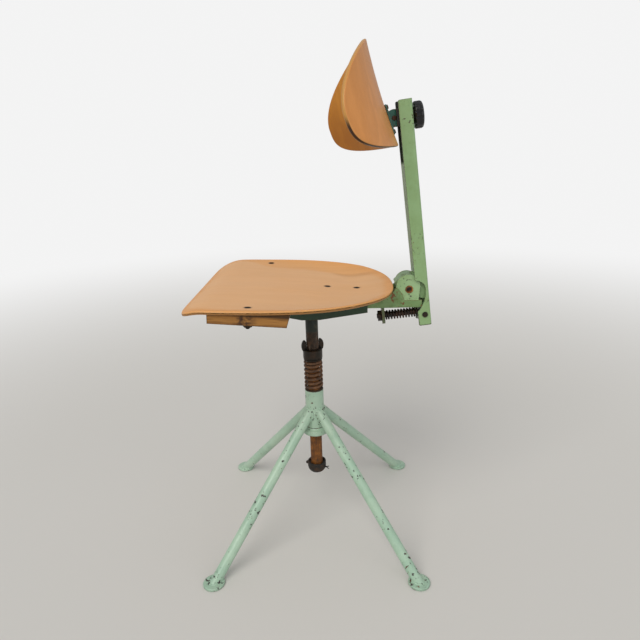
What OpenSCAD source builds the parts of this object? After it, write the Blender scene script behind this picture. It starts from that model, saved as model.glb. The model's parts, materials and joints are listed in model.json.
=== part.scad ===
// Workshop swivel chair: four-legged tubular base, sprung seat spindle with a
// height nut, dished plywood seat and a sprung, tilting back arm that carries a
// curved plywood backrest. Millimetres, +Z up, the sitter faces -X and the
// feet stand on Z = 0. Left and right are the sitter's, so left is -Y.

/* [Feet and legs] */
// Side of the square through the middles of the four feet
foot_square_w = 360; // [320:5:420]
// Diameter of a foot plate
foot_d = 38; // [34:1:50]
// Thickness of a foot plate
foot_t = 5; // [3:0.5:8]
// Outer diameter of a leg tube
leg_d = 19; // [17:0.5:24]
// Wall of a leg tube
leg_wall = 2; // [1.5:0.5:3]
// Height at which the four leg axes meet
leg_meet_z = 259; // [248:1:266]

/* [Hub] */
// Outer diameter of the hub tube
hub_d = 35; // [34:0.5:38]
// Bore of the hub tube
hub_bore = 28; // [27:0.5:30]
// Height of the hub's lower end
hub_bottom_z = 204; // [198:1:208]
// Length of the hub tube
hub_len = 87; // [80:1:92]
// Outer diameter of the ring under the hub
flange_d = 49; // [44:1:54]
// Height of the ring under the hub
flange_t = 9.5; // [8:0.5:13]
// Part of that ring which stands below the hub tube
flange_under = 3.5; // [3:0.5:5]
// Height of the cone that blends the ring into the hub
flange_cone_h = 5; // [3:0.5:7]
// Length of a bush inside the hub
bush_len = 24; // [16:1:30]
// Thickness of the upper bush's collar
bush_collar_t = 1; // [0.5:0.5:3]

/* [Spindle] */
// Diameter of the seat spindle
spindle_d = 23; // [20:0.5:24]
// Radial clearance of a running fit
running_gap = 0.05; // [0.02:0.01:0.08]
// Clearance between pieces that are welded or screwed together
seam_gap = 0.02; // [0.01:0.01:0.04]
// Length of spindle below the hub
spindle_tail = 86; // [80:1:92]
// Diameter of the cup at the spindle's lower end
cup_d = 36; // [35:0.5:40]
// Height of that cup
cup_h = 22; // [20:0.5:28]
// Thickness of the cup's closed bottom
cup_floor = 6; // [4:0.5:8]
// Height of the cotter pin above the cup's bottom
cotter_z = 12; // [11:0.5:14]
// Diameter of the cotter pin
cotter_d = 3.4; // [2.6:0.2:4]
// Direction in which the cotter pin's legs stand out
cotter_angle = -25; // [-90:5:90]

/* [Seat spring] */
// Length of the seat spring as fitted
seat_spring_len = 60; // [54:1:66]
// Wire diameter of the seat spring
seat_spring_wire = 4.6; // [4:0.1:5]
// Clearance between the seat spring and the spindle
seat_spring_clear = 0.12; // [0.1:0.02:0.4]
// Turns of the seat spring
seat_spring_turns = 7; // [5:1:7]
// Thickness of the washer on top of the spring
thrust_washer_t = 2; // [1.5:0.5:3]

/* [Height nut] */
// Diameter of the winged height nut
nut_d = 36; // [34:1:40]
// Height of the nut's round body
nut_h = 19; // [16:1:24]
// Height of the two ears above the body
ear_h = 17.2; // [14:0.2:22]
// Width of an ear, outwards from the spindle
ear_w = 8.4; // [7:0.2:10]
// Thickness of an ear
ear_t = 5; // [3:0.2:7]
// Direction in which the ears stand
ear_angle = 20; // [0:1:90]

/* [Seat pan] */
// Height of the seat above the nut's body, on the spindle axis
seat_above_nut = 120.1; // [115:0.1:135]
// Reach of the pan ahead of the spindle axis
pan_front = 195; // [188:0.2:210]
// Reach of the pan behind the spindle axis
pan_rear = 146; // [140:0.5:148]
// Width of the pan
pan_w = 369.6; // [362:0.2:380]
// Thickness of the pan
pan_t = 6.3; // [6:0.1:8]
// Slope of the pan, down to the rear
pan_slope = 4.65; // [3:0.01:6]
// Distance of the widest line ahead of the spindle axis
pan_widest = 85.3; // [75:0.1:92]
// Roundness of the outline behind the widest line
pan_rear_power = 2.34; // [2:0.01:3]
// Squareness of the outline ahead of the widest line: towards the front and
// towards the sides
pan_front_power = 4.25; // [3.5:0.05:6]
pan_side_power = 9.1; // [6:0.1:11]
// Rise of the rim at the rear
rim_rise = 13.6; // [8:0.1:16]
// Share of the half width at which the rim starts to rise
rim_start = 0.7; // [0.6:0.01:0.75]
// Length over which the front edge rolls down
roll_len = 50; // [44:0.5:60]
// Drop of the front edge
roll_drop = 17; // [12:1:24]

/* [Under the seat] */
// Length of a packing block
block_len = 124; // [100:1:130]
// Width of a packing block
block_w = 40; // [34:1:44]
// Least height of a packing block
block_h = 15; // [12:0.5:17]
// Distance of a packing block's outer side from the middle
block_out_y = 177; // [172:1:178]
// Reach of the blocks ahead of the spindle axis
block_front = 146; // [140:1:150]
// Distance of the cross strip ahead of the spindle axis
strip_ahead = 87.4; // [82:0.2:94]
// Width of the cross strip
strip_w = 30; // [24:1:36]
// Thickness of the cross strip
strip_t = 4; // [3:0.5:5]
// Distance of the front bolts from the middle
front_bolt_y = 157; // [152:1:160]
// Distances of the two rear bolts behind the spindle axis
rear_bolt_1 = 31; // [28:1:34]
rear_bolt_2 = 83; // [72:1:86]
// Diameter of the seat bolts
bolt_d = 6; // [5:0.5:7]
// Width of the spine
spine_w = 43.6; // [42:0.2:50]
// Sheet thickness of the spine
spine_t = 2.5; // [2:0.5:2.5]
// Reach of the spine ahead of the spindle axis
spine_front = 112; // [108:1:125]
// Reach of the spine behind the spindle axis
spine_rear = 101; // [98:1:106]
// Depth of the spine below the seat, at the spindle
spine_deep = 58.7; // [57:0.1:62]
// Depth of the spine below the seat, at its rear end
spine_rear_deep = 46.9; // [45:0.1:50]
// Height of the spine's front end
spine_front_h = 12; // [10:1:18]
// Outer diameter of the spindle's socket
socket_d = 32; // [30:0.5:34]

/* [Rear bracket] */
// Distance of the back pivot behind the spindle axis
pivot_x = 174; // [172:0.5:180]
// Depth of the back pivot below the seat
pivot_drop = 7.4; // [5:0.1:9]
// Diameter of the hollow pivot tube
pivot_d = 12.8; // [11:0.1:14]
// Bore of the hollow pivot tube
pivot_bore = 10; // [8:0.5:10.5]
// Depth of the bracket channel's underside below the pivot
channel_below = 33; // [32:0.5:34]
// Height of the bracket channel
channel_h = 14; // [10:0.5:15]
// Width of the bracket channel
channel_w = 38; // [36:0.5:38]
// Sheet thickness of the bracket channel
channel_t = 2.5; // [2:0.5:3]
// Length of the bracket channel
channel_len = 154.5; // [146:0.5:156]
// Reach of the bracket channel behind the pivot
channel_rear = 22.5; // [18:0.5:23]
// Thickness of a cheek
cheek_t = 3; // [2.5:0.5:3.5]
// Radius of a cheek's rounded top
cheek_r = 21.2; // [19:0.1:22]

/* [Back arm] */
// Lean of the arm towards the front
arm_lean = 6.54; // [4:0.01:9]
// Length of the arm above the pivot
arm_up = 309; // [290:0.1:330]
// Length of the arm below the pivot
arm_down = 67.7; // [64:0.1:72]
// Depth of the arm's channel
arm_deep = 22.3; // [20:0.1:24]
// Width of the arm's channel
arm_w = 44; // [43.6:0.2:48]
// Sheet thickness of the arm
arm_t = 2.5; // [2:0.5:2.5]
// Distance of the arm's rear face behind the pivot
arm_back = 33; // [32:0.1:35]
// Width of the slot in which the backrest is clamped
slot_w = 11.4; // [10.6:0.2:13]
// Travel of the backrest down the slot
slot_travel = 120; // [80:5:140]
// Clearance between the knuckle and the cheeks
knuckle_gap = 0.3; // [0.2:0.05:0.5]
// Sheet thickness of the knuckle
knuckle_t = 3; // [2.5:0.5:3.5]

/* [Back spring] */
// Distance of the spring pin behind the pivot, square to the arm
spring_pin_x = 22.7; // [22:0.1:23]
// Distance of the spring pin below the pivot, along the arm
spring_pin_down = 47.9; // [46:0.1:50]
// Diameter of the spring pin
spring_pin_d = 9.4; // [8:0.2:10]
// Distance of the spring lug ahead of the pivot
lug_ahead = 44; // [42:0.5:46]
// Depth of the lug's hole below the pivot
lug_below = 52; // [50:0.5:54]
// Thickness of the lug
lug_t = 5; // [4:0.5:6]
// Width of the lug
lug_w = 30; // [26:1:32]
// Diameter of the spring rod
rod_d = 9; // [8:0.2:9.4]
// Clearance around the rod in the lug's hole
rod_hole_gap = 2; // [1.8:0.1:3]
// Wire diameter of the back spring
back_spring_wire = 3; // [2.5:0.1:3]
// Clearance between the back spring and its rod
back_spring_clear = 0.7; // [0.4:0.1:1.2]
// Turns of the back spring
back_spring_turns = 11; // [8:1:11]

/* [Back clamp] */
// Height of the clamp above the pivot, along the arm
clamp_up = 283.5; // [275:0.1:290]
// Distance of the head pin behind the pivot, square to the arm
head_pin_x = 2.9; // [2:0.1:3.4]
// Diameter of the head pin
head_pin_d = 7; // [6:0.2:8]
// Length of the sliding block along the arm
slide_len = 27; // [22:1:32]
// Diameter of the clamp bolt
clamp_bolt_d = 10; // [8:0.5:10]
// Diameter of the knob
knob_d = 42.5; // [36:0.5:48]
// Height of the knob
knob_h = 15; // [14:0.5:20]
// Grooves round the knob
knob_grooves = 14; // [8:1:18]

/* [Backrest] */
// Lean of the backrest, its top to the front
back_lean = 18; // [10:0.1:20]
// Twist of the worn head about the upright
back_twist = 4; // [0:0.1:5]
// Sideways roll of the worn head
back_roll = -1.9; // [-2:0.1:2]
// Radius of the shell's rear surface
back_r = 223; // [210:1:300]
// Thickness of the shell
back_t = 8; // [6:0.5:10]
// Height of the shell along its own surface
back_h = 165; // [150:1:200]
// Height of the widest line above the shell's lower edge
back_widest = 64.5; // [55:0.5:80]
// Half width of the shell, measured round its curve
back_half_w = 192.5; // [170:0.5:205]
// Height of the head pin above the shell's lower edge
back_pin_h = 42.2; // [42:0.1:50]
// Distance of the head pin behind the shell
back_pin_off = 9.9; // [9.5:0.1:11]
// Thickness of the plate on the shell
plate_t = 3; // [2.5:0.1:3.2]
// Height and width of that plate
plate_h = 48; // [46:1:56]
plate_w = 36; // [34:1:40]

/* [Hidden] */
$fn = 64;

mint = [0.63, 0.76, 0.63];
sage = [0.55, 0.68, 0.49];
dark_green = [0.16, 0.25, 0.16];
teal = [0.14, 0.37, 0.30];
rust = [0.42, 0.22, 0.10];
dark_steel = [0.20, 0.17, 0.15];
bronze = [0.62, 0.42, 0.22];
seat_wood = [0.84, 0.64, 0.45];
back_wood = [0.77, 0.52, 0.29];
black = [0.04, 0.04, 0.04];

big = 400;
flat_gap = 0.3;
contact_gap = 0.1;

hub_top_z = hub_bottom_z + hub_len;
spring_z = hub_top_z + bush_collar_t + contact_gap;
washer_z = spring_z + seat_spring_len + contact_gap;
nut_z = washer_z + thrust_washer_t + contact_gap;
seat_z = nut_z + nut_h + seat_above_nut;
spindle_bottom_z = hub_bottom_z - spindle_tail;
cup_z = spindle_bottom_z - cup_floor;
spindle_bore_d = spindle_d + 2 * running_gap;

// A coil has eight straight chords a turn, so its corners lie further out than its bore says
coil_steps = 8;
coil_sides = 6;
function coil_d(rod, clear, wire) = (rod + 2 * clear + wire) / cos(180 / coil_steps) + wire;
seat_spring_d = coil_d(spindle_d, seat_spring_clear, seat_spring_wire);

// Extent of the chair along X, which puts the origin under its middle
pan_reach_front = pan_front * cos(pan_slope) + (roll_drop + pan_t) * sin(pan_slope);
arm_reach_rear = pivot_x + arm_back * cos(arm_lean) + arm_down * sin(arm_lean);
foot_reach = (foot_square_w + foot_d) / 2;
shift_x = (max(pan_reach_front, foot_reach) - max(arm_reach_rear, foot_reach)) / 2;

// Planes under the seat, as heights in the level seat frame
function pan_under(x) = -tan(pan_slope) * x - pan_t / cos(pan_slope);
function strip_under(x) = -tan(pan_slope) * x - (pan_t + block_h) / cos(pan_slope);

// Sizes of the arm, in its own leaning frame
arm_front = arm_back - arm_deep;
arm_web = arm_back - arm_t;
cheek_out = channel_w / 2 - channel_t - seam_gap;
cheek_in = cheek_out - cheek_t;
knuckle_y = cheek_in - knuckle_gap;
cheek_mid = [-1.6, 5.6];
fork_top = -36;

// The rod runs from the spring pin to the hole in the lug
pin_pivot_x = spring_pin_x * cos(arm_lean) + spring_pin_down * sin(arm_lean);
pin_pivot_z = spring_pin_x * sin(arm_lean) - spring_pin_down * cos(arm_lean);
rod_drop = lug_below + pin_pivot_z;
rod_angle = atan2(rod_drop, pin_pivot_x + lug_ahead);
rod_reach = norm([pin_pivot_x + lug_ahead, rod_drop]);
rod_eye_r = 7.4;
rod_eye_w = 15;
rod_washer_x = 11;
rod_washer_t = 2;
rod_washer_d = 19;
stop_washer_t = 1.5;
stop_nut_t = 5.5;
stop_nut_d = 20;
back_spring_d = coil_d(rod_d, back_spring_clear, back_spring_wire);
back_spring_x = rod_washer_x + rod_washer_t + contact_gap;
back_spring_len = rod_reach - lug_t / 2 - contact_gap - back_spring_x;
stop_washer_x = rod_reach + lug_t / 2 + contact_gap;
stop_nut_x = stop_washer_x + stop_washer_t + contact_gap;
rod_end_x = stop_nut_x + stop_nut_t + 1.5;

// The head pin in the frame of the pivot
head_x = head_pin_x * cos(arm_lean) - clamp_up * sin(arm_lean);
head_z = head_pin_x * sin(arm_lean) + clamp_up * cos(arm_lean);
ear_in = 7.3;
ear_out = 10.3;
ear_r = 13.5;
eye_r = 5.8;
tongue_y = 6;
slide_front = arm_front - 3.5;
ear_slot = [6.2, 11.6];
ear_slot_x = head_pin_x + ear_r + 0.8;
slide_back = arm_web - flat_gap;
slide_y = arm_w / 2 - arm_t - 2.5;
bolt_start = slide_back - 8;
clamp_washer_x = arm_back + flat_gap;
clamp_washer_t = 2;
knob_x = clamp_washer_x + clamp_washer_t + flat_gap;
insert_r = 8;
insert_h = 11;
clamp_bolt_end = knob_x + insert_h - 1;
screw_y = 13;
screw_z = 19.5;
screw_d = 4;

// Frames: each carries its children to their place on the chair
module at_base() translate([shift_x, 0, 0]) children();
module at_seat() translate([shift_x, 0, seat_z]) children();
module at_pan() at_seat() rotate([0, pan_slope, 0]) children();
module at_pivot() at_seat() translate([pivot_x, 0, -pivot_drop]) children();
module at_arm() at_pivot() rotate([0, -arm_lean, 0]) children();
module at_rod() at_pivot() translate([pin_pivot_x, 0, pin_pivot_z])
    rotate([0, 180 - rod_angle, 0]) children();
module at_clamp() at_arm() translate([0, 0, clamp_up]) children();
module head_turn() rotate([0, 0, back_twist]) rotate([back_roll, 0, 0]) children();
module at_head() at_pivot() translate([head_x, 0, head_z]) head_turn()
    rotate([0, -back_lean, 0]) children();

// A flat outline in X and Z, given a thickness from y0 to y1
module plate_xz(y0, y1) translate([0, y1, 0]) rotate([90, 0, 0])
    linear_extrude(y1 - y0) children();

// Round bars along X and along Y
module bar_x(r, x0, x1) translate([x0, 0, 0]) rotate([0, 90, 0]) cylinder(h = x1 - x0, r = r);
module bar_y(r, y0, y1) translate([0, y1, 0]) rotate([90, 0, 0]) cylinder(h = y1 - y0, r = r);

// A round washer or bush along Z
module ring(r_out, r_in, h) difference() {
    cylinder(h = h, r = r_out);
    translate([0, 0, -1]) cylinder(h = h + 2, r = r_in);
}

// Coil springs. Height of the wire's axis after u turns: the first and the last
// turn lie closer than the rest, as on a spring with closed ends.
closed_gap = 0.9;
function coil_z(u, turns, rise, wire) =
    let (end_pitch = wire + closed_gap, mid_pitch = (rise - 2 * end_pitch) / (turns - 2))
    u < 1 ? end_pitch * u
    : u < turns - 1 ? end_pitch + mid_pitch * (u - 1)
    : rise - end_pitch * (turns - u);
function coil_point(u, r, turns, rise, wire) =
    [r * cos(360 * u), r * sin(360 * u), wire / 2 + coil_z(u, turns, rise, wire)];

// Centres of the wire, with a straight end of one wire diameter at each end
function coil_path(r, turns, rise, wire) =
    let (n = turns * coil_steps,
        turn = [for (i = [0 : n]) coil_point(i / coil_steps, r, turns, rise, wire)])
    concat([turn[0] - [0, wire, 0]], turn, [turn[n] + [0, wire, 0]]);
function coil_heading(path, i) =
    let (last = len(path) - 1, d = path[min(i + 1, last)] - path[max(i - 1, 0)])
    i == 0 || i == last ? [0, 1, 0] : d / norm(d);
function coil_gap(path, wire) =
    min([for (i = [0 : len(path) - 1]) for (j = [i + coil_steps - 2 : 1 : len(path) - 1])
        norm(path[i] - path[j])]) - wire;
function coil_ring(path, i, wire) =
    let (t = coil_heading(path, i), flat = norm([path[i].x, path[i].y]),
        out = [path[i].x, path[i].y, 0] / flat, side = cross(t, out),
        n = out - (out * t) * t)
    [for (k = [0 : coil_sides - 1])
        path[i] + wire / 2 * (cos(360 * k / coil_sides) * n / norm(n)
            + sin(360 * k / coil_sides) * side / norm(side))];
module coil(d, wire, turns, length) {
    path = coil_path((d - wire) / 2, turns, length - wire, wire);
    rings = len(path);
    points = [for (i = [0 : rings - 1]) each coil_ring(path, i, wire)];
    skin = [for (i = [0 : rings - 2]) for (k = [0 : coil_sides - 1])
        let (a = i * coil_sides + k, b = i * coil_sides + (k + 1) % coil_sides)
        each [[a, b + coil_sides, b], [a, a + coil_sides, b + coil_sides]]];
    last = (rings - 1) * coil_sides;
    caps = [for (k = [1 : coil_sides - 2])
        each [[0, k, k + 1], [last, last + k + 1, last + k]]];
    polyhedron(points, concat(skin, caps));
}
echo(seat_spring_least_gap = coil_gap(coil_path((seat_spring_d - seat_spring_wire) / 2,
    seat_spring_turns, seat_spring_len - seat_spring_wire, seat_spring_wire), seat_spring_wire));
echo(back_spring_least_gap = coil_gap(coil_path((back_spring_d - back_spring_wire) / 2,
    back_spring_turns, back_spring_len - back_spring_wire, back_spring_wire), back_spring_wire));

// Seat surface. The outline is a superellipse about the widest line, squarer at
// the front, and its reach in each direction is found by halving a bracket; share
// is 0 at its middle and 1 at the rim.
rim_from_x = -147.7;
rim_full_x = 98.3;
rim_power = 1.5;
pan_angles = 72;
pan_rings = 10;
function outline_sum(u, v, n, m) = pow(u, n) + pow(v, m);
function outline_reach(u, v, n, m, low, high, left) =
    let (mid = (low + high) / 2)
    left == 0 ? mid
    : outline_sum(u * mid, v * mid, n, m) > 1 ? outline_reach(u, v, n, m, low, mid, left - 1)
    : outline_reach(u, v, n, m, mid, high, left - 1);
function pan_edge(a) =
    let (ahead = cos(a) < 0,
        reach = ahead ? pan_front - pan_widest : pan_rear + pan_widest,
        n = ahead ? pan_front_power : pan_rear_power,
        m = ahead ? pan_side_power : pan_rear_power)
    outline_reach(abs(cos(a)) / reach, abs(sin(a)) / (pan_w / 2), n, m, 1, big, 30);
function pan_share(x, y) = norm([x + pan_widest, y]) / pan_edge(atan2(y, x + pan_widest));
function rim(x) = rim_rise * min(1, max(0, (x - rim_from_x) / (rim_full_x - rim_from_x)));
function roll(x) = roll_drop * pow(max(0, -x - pan_front + roll_len) / roll_len, 2);
function pan_z(x, share) =
    rim(x) * pow(max(0, share - rim_start) / (1 - rim_start), rim_power) - roll(x);
function pan_top(x, y) = pan_z(x, pan_share(x, y));
function pan_point(share, a, drop) =
    let (r = share * pan_edge(a), x = r * cos(a) - pan_widest)
    [x, r * sin(a), pan_z(x, share) - drop];
module pan_form() {
    half = 1 + pan_rings * pan_angles;
    points = [for (drop = [0, pan_t]) each concat([pan_point(0, 0, drop)],
        [for (k = [1 : pan_rings]) for (j = [0 : pan_angles - 1])
            pan_point(k / pan_rings, 360 * j / pan_angles, drop)])];
    function at(k, j) = 1 + (k - 1) * pan_angles + j % pan_angles;
    fan = [for (j = [0 : pan_angles - 1])
        each [[0, at(1, j + 1), at(1, j)], [half, half + at(1, j), half + at(1, j + 1)]]];
    bands = [for (k = [1 : pan_rings - 1]) for (j = [0 : pan_angles - 1])
        let (a = at(k, j), b = at(k, j + 1), c = at(k + 1, j + 1), d = at(k + 1, j))
        each [[a, b, c], [a, c, d], [half + a, half + c, half + b], [half + a, half + d, half + c]]];
    edge = [for (j = [0 : pan_angles - 1])
        let (a = at(pan_rings, j), b = at(pan_rings, j + 1))
        each [[a, b, half + b], [a, half + b, half + a]]];
    polyhedron(points, concat(fan, bands, edge));
}

// Seat bolts: places in the pan's own frame and one bolt with its nut
bolt_head_d = 11;
bolt_head_h = 2.8;
bolt_nut_d = 14;
bolt_nut_t = 8;
front_bolts = [for (s = [-1, 1]) [-strip_ahead, s * front_bolt_y]];
rear_bolts = [[rear_bolt_1, 0], [rear_bolt_2, 0]];
function bolt_top(p) = pan_top(p.x, p.y) - 0.4;
module seat_bolt(p, under) translate([p.x, p.y, 0]) {
    top = bolt_top(p);
    end = under - bolt_nut_t - 3;
    translate([0, 0, top - bolt_head_h])
        cylinder(h = bolt_head_h, d1 = bolt_d, d2 = bolt_head_d);
    translate([0, 0, end]) cylinder(h = top - bolt_head_h - end + 0.01, d = bolt_d);
}
module seat_nut(p, under) translate([p.x, p.y, under - bolt_nut_t - contact_gap]) difference() {
    cylinder(h = bolt_nut_t, d = bolt_nut_d, $fn = 6);
    translate([0, 0, -1]) cylinder(h = bolt_nut_t + 2, d = bolt_d + 2 * seam_gap);
}
module bolt_hole(p) translate([p.x, p.y, 0]) {
    top = bolt_top(p);
    translate([0, 0, top - bolt_head_h - contact_gap])
        cylinder(h = bolt_head_h, d1 = bolt_d + contact_gap, d2 = bolt_head_d + contact_gap);
    translate([0, 0, top - contact_gap - 0.01]) cylinder(h = 20, d = bolt_head_d + contact_gap);
    translate([0, 0, -60]) cylinder(h = 70, d = bolt_d + contact_gap);
}

// Base: hub tube, ring, bushes, legs and feet
module hub_tube() color(mint) at_base() translate([0, 0, hub_bottom_z])
    ring(hub_d / 2, hub_bore / 2, hub_len);
flange_top = flange_t - flange_under;
module hub_flange() color(mint) at_base() translate([0, 0, hub_bottom_z]) rotate_extrude()
    polygon([[hub_bore / 2, -flange_under], [flange_d / 2 - 1, -flange_under],
        [flange_d / 2, 1 - flange_under], [flange_d / 2, flange_top - 1.2],
        [flange_d / 2 - 1.2, flange_top], [hub_d / 2 + 3, flange_top + 0.8],
        [hub_d / 2 + 1, flange_top + flange_cone_h * 0.5],
        [hub_d / 2 + seam_gap, flange_top + flange_cone_h], [hub_d / 2 + seam_gap, -seam_gap],
        [hub_bore / 2, -seam_gap]]);
module upper_bush() color(bronze) at_base() {
    translate([0, 0, hub_top_z + seam_gap])
        ring(hub_d / 2 - 0.4, spindle_bore_d / 2, bush_collar_t - seam_gap);
    translate([0, 0, hub_top_z - bush_len])
        ring(hub_bore / 2 - seam_gap, spindle_bore_d / 2, bush_len + seam_gap);
}
module lower_bush() color(bronze) at_base() translate([0, 0, hub_bottom_z])
    ring(hub_bore / 2 - seam_gap, spindle_bore_d / 2, bush_len);

leg_angle = atan2(leg_meet_z, foot_square_w / 2 * sqrt(2));
module leg(turn) color(mint) at_base() rotate(turn) difference() {
    translate([0, 0, leg_meet_z]) rotate([0, 90 + leg_angle, 0])
        ring(leg_d / 2, leg_d / 2 - leg_wall, norm([leg_meet_z, foot_square_w]));
    translate([0, 0, -1]) cylinder(h = big, d = hub_d + 2 * seam_gap);
    translate([0, -big / 2, foot_t - big]) cube([big + 100, big, big]);
}
leg_turn = 45;
module leg_front_left() leg(180 + leg_turn);
module leg_front_right() leg(180 - leg_turn);
module leg_rear_left() leg(-leg_turn);
module leg_rear_right() leg(leg_turn);

foot_round = 2;
module foot(sx, sy) color(mint) at_base()
    translate([sx * foot_square_w / 2, sy * foot_square_w / 2, 0]) rotate_extrude()
    polygon([[0, 0], [foot_d / 2 - foot_round, 0], [foot_d / 2, foot_round * 0.6],
        [foot_d / 2, foot_t - foot_round * 0.7], [foot_d / 2 - foot_round, foot_t - 0.1],
        [foot_d / 2 - foot_round - 0.2, foot_t], [0, foot_t]]);
module foot_front_left() foot(-1, -1);
module foot_front_right() foot(-1, 1);
module foot_rear_left() foot(1, -1);
module foot_rear_right() foot(1, 1);

// Suspension: spring, washer and the winged height nut
module seat_spring() color(rust) at_base() translate([0, 0, spring_z])
    coil(seat_spring_d, seat_spring_wire, seat_spring_turns, seat_spring_len);
module thrust_washer() color(dark_steel) at_base() translate([0, 0, washer_z])
    ring(seat_spring_d / 2, spindle_bore_d / 2 + 0.1, thrust_washer_t);

// An ear's outline, in shares of its width and of its height above the body
ear_root = 4;
ear_shape = [[0, 0], [0, 0.84], [0.12, 0.96], [0.33, 1], [0.6, 0.95], [0.86, 0.79], [1, 0.55],
    [0.98, 0.29], [0.83, 0.08], [0.6, 0]];
ear_from = spindle_bore_d / 2 + 1;
nut_round = 1.5;
module height_nut() color(dark_steel) at_base() translate([0, 0, nut_z]) {
    rotate_extrude() polygon([[spindle_bore_d / 2, 0], [nut_d / 2 - nut_round, 0],
        [nut_d / 2, nut_round], [nut_d / 2, nut_h - nut_round],
        [nut_d / 2 - nut_round, nut_h], [spindle_bore_d / 2, nut_h]]);
    for (turn = [0, 180]) rotate(ear_angle + turn) translate([ear_from, 0, nut_h - ear_root]) {
        plate_xz(-ear_t / 2, ear_t / 2) polygon([for (p = ear_shape)
            [p.x * ear_w, p.y * (ear_h + ear_root)]]);
    }
}

// Spindle with its end cup and cotter pin
socket_top = pan_under(socket_d / 2) - spine_t / cos(pan_slope) - 0.2;
module cotter_hole() translate([0, 0, cup_z + cotter_z]) rotate(cotter_angle)
    bar_x(cotter_d / 2 + running_gap, -big / 4, big / 4);
module spindle() color(rust) at_base() difference() {
    translate([0, 0, spindle_bottom_z])
        cylinder(h = seat_z + socket_top - spindle_bottom_z, d = spindle_d);
    cotter_hole();
}
cup_rim_h = 4;
cup_rim_gap = 4;
cup_round = [for (i = [0 : 6]) let (a = 15 * i)
    [cup_d / 2 - 10 * (1 - cos(a)), 13 - 13 * sin(a)]];
module end_cup() color(dark_steel) at_base() difference() {
    translate([0, 0, cup_z]) rotate_extrude() polygon(concat(
        [[0, cup_floor - seam_gap], [spindle_bore_d / 2, cup_floor - seam_gap],
            [spindle_bore_d / 2, cup_h - cup_rim_h],
            [spindle_bore_d / 2 + cup_rim_gap, cup_h - cup_rim_h],
            [spindle_bore_d / 2 + cup_rim_gap, cup_h], [cup_d / 2 - 1, cup_h],
            [cup_d / 2, cup_h - 1]], cup_round, [[0, 0]]));
    cotter_hole();
}
cotter_out = cup_d / 2 + 1.5;
cotter_eye_d = 6.4;
module cotter_pin() color(dark_steel) at_base() translate([0, 0, cup_z + cotter_z])
    rotate(cotter_angle) {
        bar_x(cotter_d / 2, -cup_d / 2 - cotter_eye_d / 2, cotter_out);
        translate([-cup_d / 2 - cotter_eye_d / 2 - contact_gap, 0, 0]) sphere(d = cotter_eye_d);
        for (s = [-1, 1]) translate([cotter_out - 0.5, 0, s * 0.4]) rotate([0, s * 24, 0])
            bar_x(cotter_d / 4, 0, 8);
    }

// Seat structure: spindle socket, spine, cross strip and packing blocks
module spindle_socket() color(dark_green) at_seat() translate([0, 0, -spine_deep])
    ring(socket_d / 2, spindle_d / 2 + seam_gap, spine_deep + socket_top);

spine_step_low = strip_ahead - strip_w / 2 - 7;
spine_step_high = spine_step_low - 20;
spine_top = [[-spine_front, strip_under(-spine_front)],
    [-spine_step_low, strip_under(-spine_step_low)],
    [-spine_step_high, pan_under(-spine_step_high)], [spine_rear, pan_under(spine_rear)]];
module seat_spine() color(dark_green) at_seat() difference() {
    plate_xz(-spine_w / 2, spine_w / 2) polygon(concat(spine_top,
        [[spine_rear, -spine_rear_deep], [socket_d / 2, -spine_deep],
            [-socket_d / 2, -spine_deep], [-socket_d * 1.25, -spine_deep + 5],
            [-spine_front, strip_under(-spine_front) - spine_front_h]]));
    plate_xz(-spine_w / 2 + spine_t, spine_w / 2 - spine_t) polygon(concat(
        [[-spine_front - 1, spine_top[0].y - spine_t / cos(pan_slope)]],
        [for (p = spine_top) [p.x, p.y - spine_t / cos(pan_slope)]],
        [[spine_rear + 1, spine_top[3].y - spine_t / cos(pan_slope)],
            [spine_rear + 1, -big / 2], [-spine_front - 1, -big / 2]]));
    at_rear_bolts_local();
}
module at_rear_bolts_local() rotate([0, pan_slope, 0]) for (p = rear_bolts) bolt_hole(p);

strip_len = 2 * (block_out_y - 5);
strip_z = -pan_t - block_h;
module strip_form(grow) translate([-strip_ahead - strip_w / 2 - grow, -strip_len / 2 - grow, strip_z - grow])
    cube([strip_w + 2 * grow, strip_len + 2 * grow, strip_t + 2 * grow]);
module cross_strip() color(dark_green) at_pan() difference() {
    translate([0, 0, contact_gap]) strip_form(0);
    for (p = front_bolts) bolt_hole(p);
}

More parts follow.
